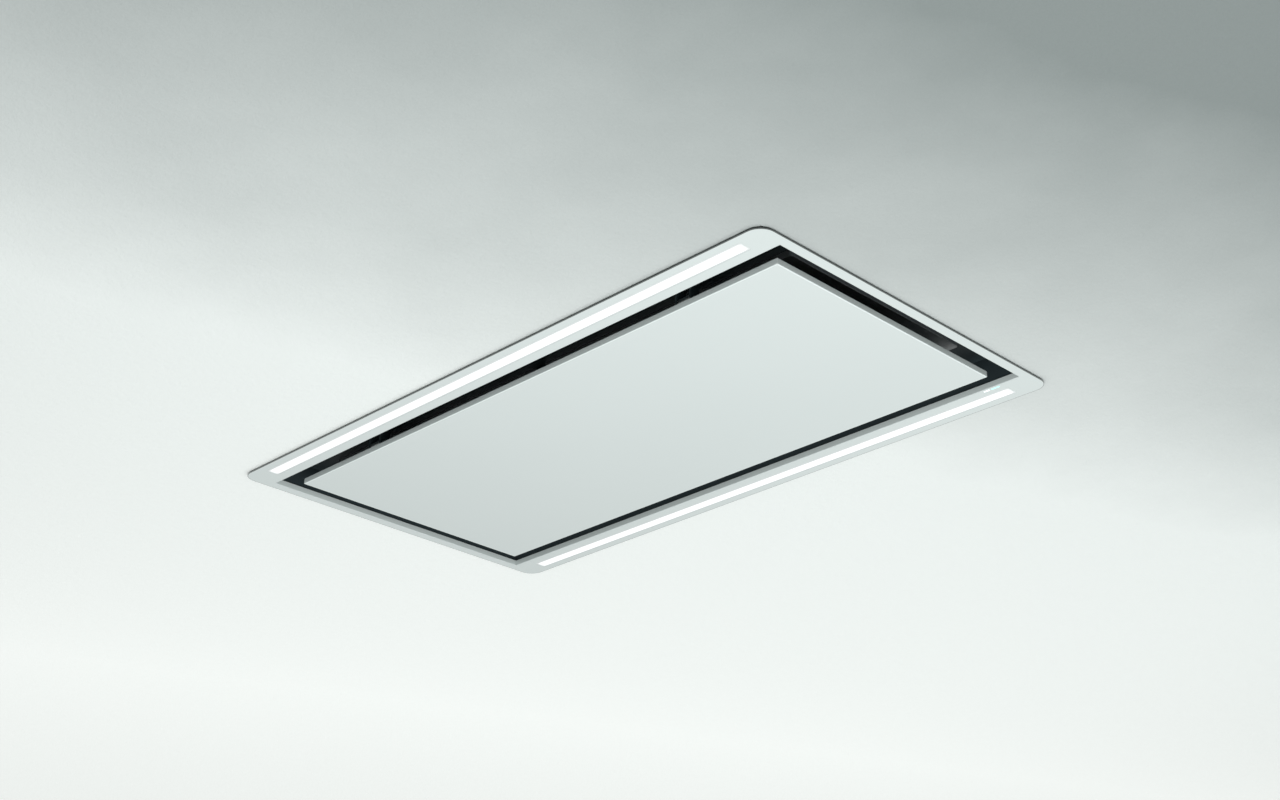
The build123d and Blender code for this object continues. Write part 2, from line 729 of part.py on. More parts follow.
with BuildPart() as panel_backing:
    backing_length = panel_length - 2 * backing_margin
    backing_width = panel_width - 2 * backing_margin
    rib_run = backing_length - 60.0
    rib_pitch = backing_width / 2 - rib_inset
    with BuildSketch(Plane.XY.offset(backing_bottom)):
        Rectangle(backing_length, backing_width)
    extrude(amount=backing_sheet)
    with BuildSketch(Plane.XY.offset(backing_top)):
        with GridLocations(0, rib_pitch, 1, 3):
            Rectangle(rib_run, rib_width)
    extrude(amount=rib_height, taper=30)
    with BuildSketch(Plane.XY.offset(backing_bottom)):
        with GridLocations(0, rib_pitch, 1, 3):
            Rectangle(rib_run - 1.6, rib_width - 1.6)
    extrude(amount=rib_height, taper=30, mode=Mode.SUBTRACT)
save(panel_backing.part, "panel_backing")

# ---------------------------------------------------------------- panel hinges


def hinge_bracket(x):
    """Foot under the deck with two ears that hold the hinge pin."""
    with BuildPart() as bracket:
        ear_back = hinge_y - hinge_ear_radius
        with Locations((x, ear_back + bracket_foot / 2, deck_bottom - bracket_sheet / 2)):
            Box(2 * (hinge_ear_x + 10.0), bracket_foot, bracket_sheet)
        for side in (-1, 1):
            with BuildSketch(Plane.YZ.offset(x + side * hinge_ear_x - hinge_ear_sheet / 2)):
                with BuildLine():
                    Polyline(
                        (ear_back, deck_bottom - bracket_sheet),
                        (ear_back, hinge_height),
                        (hinge_y + hinge_ear_radius, hinge_height),
                        (hinge_y + hinge_ear_radius + 8.0, deck_bottom - bracket_sheet),
                        close=True,
                    )
                make_face()
                with Locations((hinge_y, hinge_height)):
                    RegularPolygon(hinge_ear_radius, round_sides // 2)
            extrude(amount=hinge_ear_sheet)
        with BuildSketch(Plane.YZ.offset(x)):
            with Locations((hinge_y, hinge_height)):
                RegularPolygon((hinge_pin_radius + running_gap) * flat_stretch, round_sides)
        extrude(amount=2 * hinge_ear_x, both=True, mode=Mode.SUBTRACT)
    return bracket.part


def hinge_arm(x):
    """Plate on the backing that rises to a knuckle round the pin."""
    base_start = hinge_y + hinge_knuckle_radius + 3.0
    base_run = 40.0
    web = 3.0
    with BuildPart() as arm:
        with BuildSketch(Plane.YZ.offset(x - hinge_knuckle_width / 2)):
            with BuildLine():
                Polyline(
                    (base_start, backing_top),
                    (base_start + base_run, backing_top),
                    (base_start + base_run, backing_top + web),
                    (base_start + web, backing_top + web),
                    (hinge_y + hinge_knuckle_radius, hinge_height + 2.0),
                    (hinge_y, hinge_height + 2.0),
                    (hinge_y, hinge_height - 3.0),
                    (hinge_y + hinge_knuckle_radius - 1.0, hinge_height - 5.0),
                    close=True,
                )
            make_face()
            with Locations((hinge_y, hinge_height)):
                RegularPolygon(hinge_knuckle_radius, round_sides // 2)
                RegularPolygon(
                    (hinge_pin_radius + running_gap) * flat_stretch, round_sides, mode=Mode.SUBTRACT
                )
        extrude(amount=hinge_knuckle_width)
        with Locations((x, base_start + base_run / 2 + web / 2, backing_top + web / 2)):
            Box(2 * hinge_knuckle_width, base_run - web, web)
    return arm.part


for label, x in (("left", -hinge_x), ("right", hinge_x)):
    save(hinge_bracket(x), f"hinge_bracket_{label}")
    save(hinge_arm(x), f"hinge_arm_{label}")

with BuildPart() as hinge_pins:
    with BuildSketch(*[Plane.YZ.offset(x) for x in (-hinge_x, hinge_x)]):
        with Locations((hinge_y, hinge_height)):
            RegularPolygon(hinge_pin_radius, round_sides)
    extrude(amount=hinge_ear_x + hinge_ear_sheet / 2 + 0.5, both=True)
save(hinge_pins.part, "hinge_pins")

# ---------------------------------------------------------------- panel catches
striker_top = panel_top + striker_height
magnet_bottom = striker_top + seat_gap
magnet_y = catch_y - magnet_width / 2


# angles under the deck whose legs carry a magnet above the panel's front edge
with BuildPart() as catch_brackets:
    leg_y = catch_y - magnet_width - bracket_sheet / 2
    leg_z = (magnet_bottom + deck_bottom) / 2
    for x in (-hinge_x, hinge_x):
        with Locations((x, leg_y + bracket_sheet / 2 - 10.0, deck_bottom - bracket_sheet / 2)):
            Box(magnet_length, 20.0, bracket_sheet)
        with Locations((x, leg_y, leg_z)):
            Box(magnet_length, bracket_sheet, deck_bottom - magnet_bottom)
        with Locations((x, leg_y, leg_z + 4.0)):
            Box(magnet_length / 2, 3 * bracket_sheet, 12.0, mode=Mode.SUBTRACT)
save(catch_brackets.part, "catch_brackets")

with BuildPart() as catch_magnets:
    with Locations(*[(x, magnet_y, magnet_bottom + magnet_height / 2) for x in (-hinge_x, hinge_x)]):
        Box(magnet_length, magnet_width, magnet_height)
save(catch_magnets.part, "catch_magnets")

with BuildPart() as striker_plates:
    with Locations(*[(x, magnet_y, panel_top + striker_height / 2) for x in (-hinge_x, hinge_x)]):
        Box(magnet_length + 4.0, magnet_width - 0.5, striker_height)
save(striker_plates.part, "striker_plates")

# ---------------------------------------------------------------- light strips
profile_bottom = frame_top
profile_top = profile_bottom + profile_height
lens_shelf = 1.5
chip_count = 12


def led_profile(y):
    """Aluminium channel that stands on the frame over a light slot."""
    with BuildPart() as profile:
        with BuildSketch(Plane.YZ.offset(-strip_length / 2 - 3.0)):
            with Locations((y, (profile_bottom + profile_top) / 2)):
                Rectangle(profile_width, profile_height)
            with Locations((y, (profile_bottom + profile_top - profile_wall) / 2)):
                Rectangle(
                    profile_width - 2 * profile_wall,
                    profile_height - profile_wall,
                    mode=Mode.SUBTRACT,
                )
        extrude(amount=strip_length + 6.0)
    return profile.part


def led_diffuser(y):
    """Opal bar: flush in the slot, with a wider shelf that rests on the frame."""
    with BuildPart() as diffuser:
        with Locations((0, y, (frame_bottom + frame_top) / 2)):
            Box(strip_length, strip_width, frame_sheet)
        with Locations((0, y, frame_top + lens_shelf / 2)):
            Box(strip_length + 2 * lens_lip, strip_width + 2 * lens_lip, lens_shelf)
    return diffuser.part


def led_board(y):
    """Narrow board under the channel's web with a row of emitters facing down."""
    board_top = profile_top - profile_wall
    with BuildPart() as board:
        with Locations((0, y, board_top - board_sheet / 2)):
            Box(strip_length - 6.0, 12.0, board_sheet)
        with Locations((0, y, board_top - board_sheet)):
            with GridLocations(strip_length / chip_count, 0, chip_count, 1):
                Box(3.0, 3.0, 0.8, align=(Align.CENTER, Align.CENTER, Align.MAX))
    return board.part


for label, y in (("front", strip_offset), ("back", -strip_offset)):
    save(led_profile(y), f"led_profile_{label}")
    save(led_board(y), f"led_board_{label}")
    save(led_diffuser(y), f"led_diffuser_{label}")


# ---------------------------------------------------------------- signal lights
guide_height = 6.0
signal_gap = 0.1


def signal_lens(x, length):
    """Small light guide: a window flush with the frame and a wider body above it."""
    body_y = tray_inner_width / 2 + tray_sheet + seat_gap + (signal_width + 3.0) / 2
    with BuildPart() as lens:
        with Locations((x, signal_offset, (frame_bottom + frame_top) / 2)):
            Box(length - 2 * signal_gap, signal_width - 2 * signal_gap, frame_sheet)
        with Locations((x, body_y, frame_top + guide_height / 2)):
            Box(length + 1.0, signal_width + 3.0, guide_height)
    return lens.part


save(signal_lens(status_x, status_length), "status_lens")
save(signal_lens(display_x, display_length), "display_lens")

with BuildPart() as receiver_board:
    receiver_width = signal_room - 2 * seat_gap - 1.0
    receiver_y = tray_inner_width / 2 + tray_sheet + seat_gap + receiver_width / 2
    receiver_x = (status_x + display_x) / 2
    with Locations((receiver_x, receiver_y, frame_top + guide_height + board_sheet / 2)):
        Box(50.0, receiver_width, board_sheet)
    with Locations((receiver_x - 15.0, receiver_y, frame_top + guide_height + board_sheet + 2.0)):
        Box(8.0, 6.0, 4.0)
    with Locations((receiver_x + 8.0, receiver_y, frame_top + guide_height + board_sheet + 1.0)):
        Box(14.0, 6.0, 2.0)
save(receiver_board.part, "receiver_board")

# ---------------------------------------------------------------- scroll of the blower


def scroll_outline():
    """Four quarter arcs that grow round the fan, then a straight outlet towards the left."""
    half = scroll_growth / 2
    centres = [(-half, -half), (half, -half), (half, half), (-half, half)]
    radii = [scroll_start_radius + step * scroll_growth for step in range(4)]
    tongue_x = centres[0][0] + radii[0] * cos(radians(tongue_angle))
    tongue_y = centres[0][1] + radii[0] * sin(radians(tongue_angle))
    top_y = centres[3][1] + radii[3]
    with BuildLine(Plane.XY.offset(0)) as outline:
        CenterArc(centres[0], radii[0], tongue_angle, 180 - tongue_angle)
        CenterArc(centres[1], radii[1], 180, 90)
        CenterArc(centres[2], radii[2], 270, 90)
        CenterArc(centres[3], radii[3], 0, 90)
        Polyline(
            (centres[3][0], top_y),
            (-scroll_exit, top_y),
            (-scroll_exit, tongue_y),
            (tongue_x, tongue_y),
        )
    return outline.line, (tongue_x, tongue_y), top_y


scroll_line, scroll_tongue, scroll_side = scroll_outline()
outlet_width = scroll_side - scroll_tongue[1]
outlet_y = fan_y + (scroll_side + scroll_tongue[1]) / 2

with BuildSketch() as scroll_void:
    with BuildLine():
        add(scroll_line)
    make_face()
    tongue_corner = scroll_void.vertices().sort_by_distance((scroll_tongue[0], scroll_tongue[1], 0))[0]
    fillet(tongue_corner, tongue_radius)

with BuildSketch() as scroll_skin:
    add(scroll_void.sketch)
    offset(amount=scroll_wall, kind=Kind.ARC)
    # the outlet end is cut square and open
    with Locations((-scroll_exit - scroll_wall, (scroll_side + scroll_tongue[1]) / 2)):
        Rectangle(2 * scroll_wall, outlet_width + 40.0, mode=Mode.SUBTRACT)

with BuildPart() as scroll_shell:
    with BuildSketch(Plane((fan_x, fan_y, scroll_floor))):
        add(scroll_skin.sketch)
        add(scroll_void.sketch, mode=Mode.SUBTRACT)
    extrude(amount=scroll_height)
    with BuildSketch(Plane((fan_x, fan_y, scroll_roof))):
        add(scroll_skin.sketch)
        RegularPolygon(motor_radius + 4.0, round_sides, mode=Mode.SUBTRACT)
    extrude(amount=scroll_wall)
    bolt_places = [Pos(x, y, scroll_top) for x, y in mount_points]
    bolt_holes = hole_faces(bolt_places, bolt_drill_radius)
    extrude(bolt_holes, amount=2 * scroll_wall, both=True, mode=Mode.SUBTRACT)
save(scroll_shell.part, "scroll_shell")

with BuildPart() as scroll_base:
    with BuildSketch(Plane((fan_x, fan_y, scroll_floor))):
        add(scroll_skin.sketch)
        RegularPolygon(inlet_radius + 2 * inlet_wall, round_sides, mode=Mode.SUBTRACT)
    extrude(amount=-scroll_wall)
save(scroll_base.part, "scroll_base")

# mouth ring that leads the air into the fan, clamped under the base plate
plate_bottom = scroll_floor - scroll_wall - inlet_sheet
lip_top = blade_bottom + 1.0
with BuildPart() as inlet_ring:
    with BuildSketch(Plane((fan_x, fan_y, plate_bottom))):
        RegularPolygon(inlet_radius + inlet_flange, round_sides)
    extrude(amount=inlet_sheet)
    with BuildSketch(Plane((fan_x, fan_y, plate_bottom))):
        RegularPolygon(inlet_radius + inlet_wall, round_sides)
    extrude(amount=lip_top - plate_bottom)
    with BuildSketch(Plane((fan_x, fan_y, plate_bottom))):
        RegularPolygon(inlet_radius * flat_stretch, round_sides)
    extrude(amount=lip_top - plate_bottom, mode=Mode.SUBTRACT)
    # flared entry
    with BuildSketch(Plane((fan_x, fan_y, plate_bottom))):
        RegularPolygon((inlet_radius + inlet_flare) * flat_stretch, round_sides)
    extrude(amount=inlet_flare, taper=45, mode=Mode.SUBTRACT)
save(inlet_ring.part, "inlet_ring")

# ---------------------------------------------------------------- impeller
cup_radius = motor_radius + 8.0
cup_sheet = 2.0
motor_bottom = scroll_floor + motor_lift
cup_floor = motor_bottom - 8.0
boss_radius = 10.0
boss_bottom = cup_floor - 12.0
nut_height = 6.0
tie_ring_height = 2.5
tie_ring_width = 8.5

with BuildPart() as impeller:
    # cup round the motor, with the shaft boss under its floor
    with BuildSketch(Plane((fan_x, fan_y, cup_floor - cup_sheet))):
        RegularPolygon(cup_radius + cup_sheet, round_sides)
    extrude(amount=blade_top - cup_floor + cup_sheet)
    with BuildSketch(Plane((fan_x, fan_y, cup_floor))):
        RegularPolygon(cup_radius, round_sides)
    extrude(amount=blade_top - cup_floor, mode=Mode.SUBTRACT)
    with BuildSketch(Plane((fan_x, fan_y, boss_bottom))):
        RegularPolygon(boss_radius, round_sides // 2)
    extrude(amount=cup_floor - cup_sheet - boss_bottom)
    with BuildSketch(Plane((fan_x, fan_y, boss_bottom))):
        Circle(shaft_radius)
    extrude(amount=cup_floor - boss_bottom, mode=Mode.SUBTRACT)
    # back plate, and the ring that ties the blade tips at the inlet side; both have a flat at each blade
    with BuildSketch(Plane((fan_x, fan_y, blade_top - cup_sheet))):
        RegularPolygon(fan_radius + 1.0, blade_count)
        RegularPolygon(cup_radius + cup_sheet / 2, round_sides, mode=Mode.SUBTRACT)
    extrude(amount=cup_sheet)
    with BuildSketch(Plane((fan_x, fan_y, blade_bottom))):
        RegularPolygon(fan_radius + 1.5, blade_count)
        RegularPolygon(fan_radius + 1.5 - tie_ring_width, blade_count, mode=Mode.SUBTRACT)
    extrude(amount=tie_ring_height)
    # forward-curved blades: two arcs that cup towards the direction of turning
    sweep_angle = radians(blade_sweep)
    back_angle = sweep_angle - blade_sheet / fan_radius
    outer_point = Vector(fan_radius * cos(sweep_angle), fan_radius * sin(sweep_angle))
    outer_back = Vector(fan_radius * cos(back_angle), fan_radius * sin(back_angle))
    inner_point = Vector(blade_inner_radius, 0)
    inner_back = Vector(blade_inner_radius, -blade_sheet)
    with BuildSketch(Plane((fan_x, fan_y, blade_bottom))):
        with PolarLocations(0, blade_count):
            with BuildLine():
                RadiusArc(inner_point, outer_point, blade_curve)
                Line(outer_point, outer_back)
                RadiusArc(outer_back, inner_back, -(blade_curve + blade_sheet))
                Line(inner_back, inner_point)
            make_face()
    extrude(amount=blade_top - cup_sheet - blade_bottom)
save(impeller.part, "impeller")

# ---------------------------------------------------------------- motor
motor_flange_sheet = 3.0
motor_top = scroll_top + motor_cap_height
bearing_bottoms = (motor_bottom + 2.0, motor_top - 1.5 - bearing_height)
shaft_top = motor_top - 3.0

with BuildPart() as motor_housing:
    with BuildSketch(Plane((fan_x, fan_y, motor_bottom))):
        RegularPolygon(motor_radius * flat_stretch, round_sides)
    extrude(amount=motor_top - motor_bottom)
    with BuildSketch(Plane((fan_x, fan_y, scroll_top))):
        RegularPolygon(motor_flange_radius, 8)
    extrude(amount=motor_flange_sheet)
    # bearing seats and the way through for the shaft
    for z in bearing_bottoms:
        with BuildSketch(Plane((fan_x, fan_y, z))):
            RegularPolygon(bearing_radius + seat_gap / 4, round_sides // 2)
        extrude(amount=bearing_height, mode=Mode.SUBTRACT)
    with BuildSketch(Plane((fan_x, fan_y, motor_bottom))):
        RegularPolygon(shaft_radius + 1.0, round_sides // 2)
    extrude(amount=bearing_bottoms[1] - motor_bottom, mode=Mode.SUBTRACT)
save(motor_housing.part, "motor_housing")

with BuildPart() as motor_bearings:
    for z in bearing_bottoms:
        with BuildSketch(Plane((fan_x, fan_y, z))):
            RegularPolygon(bearing_radius, round_sides // 2)
            RegularPolygon((shaft_radius + running_gap) * flat_stretch, round_sides, mode=Mode.SUBTRACT)
        extrude(amount=bearing_height)
save(motor_bearings.part, "motor_bearings")

with BuildPart() as motor_shaft:
    with BuildSketch(Plane((fan_x, fan_y, boss_bottom - nut_height - 2.0))):
        Circle(shaft_radius)
    extrude(amount=shaft_top - boss_bottom + nut_height + 2.0)
save(motor_shaft.part, "motor_shaft")

with BuildPart() as shaft_nut:
    with BuildSketch(Plane((fan_x, fan_y, boss_bottom - nut_height))):
        RegularPolygon(8.0, 6)
        RegularPolygon(shaft_radius * flat_stretch, round_sides, mode=Mode.SUBTRACT)
    extrude(amount=nut_height)
save(shaft_nut.part, "shaft_nut")

with BuildPart() as rubber_mounts:
    with BuildSketch(Plane.XY.offset(scroll_top)):
        with Locations(*mount_points):
            RegularPolygon(mount_radius, 12)
    extrude(amount=cover_bottom - scroll_top)
    extrude(hole_faces(bolt_places, bolt_drill_radius), amount=cover_bottom, both=True, mode=Mode.SUBTRACT)
save(rubber_mounts.part, "rubber_mounts")

with BuildPart() as blower_bolts:
    bolt_end = scroll_roof - 1.5
    bolt_planes = [Plane(Pos(x, y, housing_height)) for x, y in mount_points]
    with BuildSketch(*bolt_planes):
        RegularPolygon(mount_bolt_radius, shank_sides)
    extrude(amount=bolt_end - housing_height)
    with BuildSketch(*bolt_planes):
        RegularPolygon(2 * mount_bolt_radius, 6)
    extrude(amount=4.0)
save(blower_bolts.part, "blower_bolts")

# ---------------------------------------------------------------- outlet duct and adapter
outlet_z = (scroll_floor + scroll_roof) / 2


def tapered_run(start, end, wall):
    """Rectangular duct between two sections across X, each given as x, y, z, width and height."""
    plan = []
    side = []
    for sign in (-1, 1):
        plan += [(x, y + sign * (width / 2 + wall)) for x, y, z, width, height in (start, end)[::sign]]
        side += [(x, z + sign * (height / 2 + wall)) for x, y, z, width, height in (start, end)[::sign]]
    with BuildPart() as run:
        with BuildSketch(Plane.XY):
            with BuildLine():
                Polyline(*plan, close=True)
            make_face()
        extrude(amount=2 * housing_height)
        with BuildSketch(Plane.XZ):
            with BuildLine():
                Polyline(*side, close=True)
            make_face()
        extrude(amount=frame_width, both=True, mode=Mode.INTERSECT)
    return run.part


duct_sections = (
    (duct_start_x, outlet_y, outlet_z, outlet_width, scroll_height),
    (duct_end_x, duct_y, duct_mouth_z, duct_mouth_width, duct_mouth_height),
)
with BuildPart() as outlet_duct:
    add(tapered_run(*duct_sections, duct_wall))
    add(tapered_run(*duct_sections, 0.0), mode=Mode.SUBTRACT)
save(outlet_duct.part, "outlet_duct")

# planes of the casing wall, of the adapter's mouth and of the spigot's root, all facing out to the left
outlet_planes = {
    name: Plane((x, duct_y, z), x_dir=(0, 1, 0), z_dir=(-1, 0, 0))
    for name, x, z in (
        ("wall", -body_length / 2, duct_mouth_z),
        ("mouth", adapter_x, duct_mouth_z),
        ("spigot", spigot_x, spigot_height),
    )
}


def square_to_round(wall, end_radius):
    """Flat-sided hood from the mouth to the spigot, its corners cut away by flats laid round the spigot."""
    mouth = (adapter_x, duct_y, duct_mouth_z, duct_mouth_width, duct_mouth_height)
    root = (spigot_x, duct_y, spigot_height, 2 * (end_radius - wall), 2 * (end_radius - wall))
    corner_y = duct_mouth_width / 2 + wall
    corner_z = duct_mouth_z - spigot_height + duct_mouth_height / 2 + wall
    flare = degrees(atan2((corner_y**2 + corner_z**2) ** 0.5 + 1.0 - end_radius, adapter_length))
    turns = [step * 360 / round_sides for step in range(round_sides) if step % (round_sides // 4)]
    spigot_root = Location(outlet_planes["spigot"])
    with BuildPart() as hood:
        add(tapered_run(mouth, root, wall))
        flats = [Rot(0, 0, turn) * Pos(end_radius, 0, 0) * Rot(0, -flare, 0) for turn in turns]
        with Locations(*[spigot_root * flat for flat in flats]):
            Box(
                spigot_radius,
                4 * spigot_radius,
                4 * spigot_radius,
                align=(Align.MIN, Align.CENTER, Align.CENTER),
                mode=Mode.SUBTRACT,
            )
    return hood.part


with BuildPart() as outlet_adapter:
    with BuildSketch(outlet_planes["wall"]):
        Rectangle(duct_mouth_width + 2 * adapter_border, duct_mouth_height + 12.0)
    extrude(amount=adapter_plate)
    adapter_holes = hole_faces(adapter_places, drill_radius)
    extrude(adapter_holes, amount=adapter_plate, both=True, mode=Mode.SUBTRACT)
    add(square_to_round(spigot_wall, spigot_radius))
    with BuildSketch(outlet_planes["spigot"]):
        Circle(spigot_radius)
    extrude(amount=spigot_length)
    with BuildSketch(outlet_planes["wall"]):
        Rectangle(duct_mouth_width, duct_mouth_height)
    extrude(amount=adapter_plate, mode=Mode.SUBTRACT)
    add(square_to_round(0.0, spigot_bore), mode=Mode.SUBTRACT)
    with BuildSketch(outlet_planes["spigot"]):
        RegularPolygon(spigot_bore * flat_stretch, round_sides)
    extrude(amount=spigot_length, mode=Mode.SUBTRACT)
    # four stops that the closed flaps rest on
    stop_height = spigot_x - flap_pin_x - 1.0 - flap_sheet / 2 - seat_gap
    with BuildSketch(outlet_planes["spigot"].offset(1.0)):
        with PolarLocations(spigot_bore - stop_reach / 2 + 0.5, 4, start_angle=45):
            Rectangle(stop_reach + 1.0, 12.0)
    extrude(amount=stop_height)
    pin_place = Pos(flap_pin_x, duct_y, spigot_height)
    pin_way = hole_faces([pin_place], (flap_pin_radius + running_gap) / cos(pi / shank_sides))
    extrude(pin_way, amount=spigot_radius, both=True, mode=Mode.SUBTRACT)
save(outlet_adapter.part, "outlet_adapter")

with BuildPart() as damper_pin:
    with Locations((flap_pin_x, duct_y, spigot_height)):
        Cylinder(flap_pin_radius, 2 * spigot_radius - 0.6)
save(damper_pin.part, "damper_pin")

flap_radius = spigot_bore - 0.8
flap_relief = flap_knuckle_radius + 0.6
knuckle_step = flap_knuckle_length + 1.0


def damper_flap(side):
    """Half disc with knuckles round the shared pin: one in the middle, or one each side of it."""
    heights = [0.0] if side > 0 else [knuckle_step, -knuckle_step]
    with BuildPart() as flap:
        with BuildSketch(outlet_planes["spigot"].offset(spigot_x - flap_pin_x - flap_sheet / 2)):
            RegularPolygon(flap_radius, 2 * round_sides)
            with Locations((flap_relief * side - side * flap_radius, 0)):
                Rectangle(2 * flap_radius, 2 * flap_radius, mode=Mode.SUBTRACT)
            with Locations(*[(side * flap_relief / 2, z) for z in heights]):
                Rectangle(flap_relief, flap_knuckle_length)
        extrude(amount=flap_sheet)
        with BuildSketch(*[Plane((flap_pin_x, duct_y, spigot_height + z)) for z in heights]):
            RegularPolygon(flap_knuckle_radius, round_sides // 2)
        extrude(amount=flap_knuckle_length / 2, both=True)
        with BuildSketch(Plane((flap_pin_x, duct_y, spigot_height))):
            RegularPolygon((flap_pin_radius + running_gap) * flat_stretch, round_sides)
        extrude(amount=spigot_radius, both=True, mode=Mode.SUBTRACT)
    return flap.part


save(damper_flap(1), "damper_flap_front")
save(damper_flap(-1), "damper_flap_back")

# ---------------------------------------------------------------- electrics
control_bottom = cover_bottom - control_depth

with BuildPart() as control_box:
    with BuildSketch(Plane((control_x, control_y, control_bottom))):
        Rectangle(control_length, control_width)
        chamfer(vertices(), 4.0)
    extrude(amount=control_depth)
    with BuildSketch(Plane((control_x, control_y, control_bottom + control_wall))):
        Rectangle(control_length - 2 * control_wall, control_width - 2 * control_wall)
    extrude(amount=control_depth, mode=Mode.SUBTRACT)
    with BuildSketch(Plane((control_x, control_y, control_bottom + control_wall))):
        with GridLocations(control_length - 30.0, control_width - 30.0, 2, 2):
            RegularPolygon(4.0, 6)
    extrude(amount=6.0)
    with BuildSketch(Plane((control_x + control_length / 2, control_y, gland_height), z_dir=(1, 0, 0))):
        RegularPolygon(gland_bore_radius * flat_stretch, round_sides)
    extrude(amount=3 * control_wall, both=True, mode=Mode.SUBTRACT)
save(control_box.part, "control_box")

control_board_bottom = control_bottom + control_wall + 6.0
with BuildPart() as control_board:
    with Locations((control_x, control_y, control_board_bottom + board_sheet / 2)):
        Box(control_length - 12.0, control_width - 12.0, board_sheet)
    board_top_z = control_board_bottom + board_sheet
    # transformer, two relays and the fuse carrier, in shares of the box's length, width and depth
    for dx, dy, length, width, height in (
        (-0.28, 0.16, 0.20, 0.27, 0.52),
        (-0.03, 0.20, 0.16, 0.13, 0.32),
        (-0.03, -0.02, 0.16, 0.13, 0.32),
        (-0.28, -0.23, 0.13, 0.16, 0.24),
    ):
        part_x = control_x + dx * control_length
        part_y = control_y + dy * control_width
        with Locations((part_x, part_y, board_top_z + height * control_depth / 2)):
            Box(length * control_length, width * control_width, height * control_depth)
    # two capacitors
    capacitor_xys = (
        (control_x + 0.18 * control_length, control_y + 0.22 * control_width),
        (control_x - 0.07 * control_length, control_y - 0.27 * control_width),
    )
    with BuildSketch(Plane.XY.offset(board_top_z)):
        with Locations(*capacitor_xys):
            RegularPolygon(capacitor_radius, round_sides // 2)
    extrude(amount=0.52 * control_depth)
save(control_board.part, "control_board")

with BuildPart() as terminal_block:
    block_x = control_x + 0.32 * control_length
    block_y = control_y - 0.16 * control_width
    block_z = board_top_z
    with Locations((block_x, block_y, block_z + terminal_width / 2)):
        Box(terminal_width, 5.2 * terminal_pitch, terminal_width)
    clamp_places = [
        Pos(block_x, block_y + terminal_pitch * step, block_z + terminal_width) for step in range(-2, 3)
    ]
    clamp_holes = hole_faces(clamp_places, terminal_pitch / 4)
    extrude(clamp_holes, amount=0.8 * terminal_pitch, both=True, mode=Mode.SUBTRACT)
    with Locations((block_x + terminal_width / 2, block_y, block_z + terminal_pitch / 2)):
        with GridLocations(0, terminal_pitch, 1, 5):
            Box(0.8 * terminal_pitch, 0.6 * terminal_pitch, 0.6 * terminal_pitch, mode=Mode.SUBTRACT)
save(terminal_block.part, "terminal_block")

driver_x = control_x
driver_y = control_y + control_width / 2 + driver_width / 2 + 12.0
with BuildPart() as led_driver:
    with Locations((driver_x, driver_y, cover_bottom - driver_height / 2)):
        Box(driver_length, driver_width, driver_height)
    fillet(led_driver.edges().filter_by(Axis.Z), 3.0)
    with Locations((driver_x, driver_y, cover_bottom - 1.5)):
        with GridLocations(driver_length + 10.0, 0, 2, 1):
            Box(14.0, 16.0, 3.0)
save(led_driver.part, "led_driver")

wall_outer_x = body_length / 2
wall_inner_x = inner_length / 2
with BuildPart() as cable_gland:
    with BuildSketch(Plane((wall_outer_x, control_y, gland_height), z_dir=(1, 0, 0))):
        RegularPolygon(12.5, 6)
    extrude(amount=6.0)
    with BuildSketch(Plane((wall_outer_x, control_y, gland_height), z_dir=(1, 0, 0))):
        RegularPolygon(gland_radius, round_sides)
    extrude(amount=-14.0)
    with BuildSketch(Plane((wall_outer_x + 6.0, control_y, gland_height), z_dir=(1, 0, 0))):
        RegularPolygon(11.0, 12)
    extrude(amount=9.0)
    with BuildSketch(Plane((wall_outer_x + 15.0, control_y, gland_height), z_dir=(1, 0, 0))):
        RegularPolygon(8.0, 12)
    extrude(amount=5.0)
    with Locations(Pos(wall_outer_x, control_y, gland_height) * Rot(0, 90, 0)):
        Cylinder(gland_bore_radius, 60.0, mode=Mode.SUBTRACT)
save(cable_gland.part, "cable_gland")

with BuildPart() as gland_nut:
    with BuildSketch(Plane((wall_inner_x - 5.0, control_y, gland_height), z_dir=(1, 0, 0))):
        RegularPolygon(12.5, 6)
        RegularPolygon(gland_radius + seat_gap, round_sides, mode=Mode.SUBTRACT)
    extrude(amount=5.0)
save(gland_nut.part, "gland_nut")
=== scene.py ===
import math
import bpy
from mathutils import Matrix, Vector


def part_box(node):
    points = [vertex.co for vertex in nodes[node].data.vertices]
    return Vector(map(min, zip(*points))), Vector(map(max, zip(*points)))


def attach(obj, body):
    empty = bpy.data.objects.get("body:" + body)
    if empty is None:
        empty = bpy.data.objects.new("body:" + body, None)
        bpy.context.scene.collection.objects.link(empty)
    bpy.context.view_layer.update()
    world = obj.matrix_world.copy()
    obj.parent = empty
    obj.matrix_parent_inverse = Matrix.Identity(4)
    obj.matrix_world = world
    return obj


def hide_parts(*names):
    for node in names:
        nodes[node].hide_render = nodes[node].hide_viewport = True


bl_info = {
    "name": "Ceiling range hood",
    "version": (1, 0, 0),
    "blender": (4, 5, 0),
    "location": "View3D > Sidebar > Hood",
    "description": "Dresses the frame of a recessed ceiling range hood: finishes, fasteners, filter mesh and stage",
    "category": "Object",
}

import bmesh
import bpy
from bpy.props import FloatProperty, FloatVectorProperty, IntProperty, PointerProperty
from mathutils import Matrix, Vector

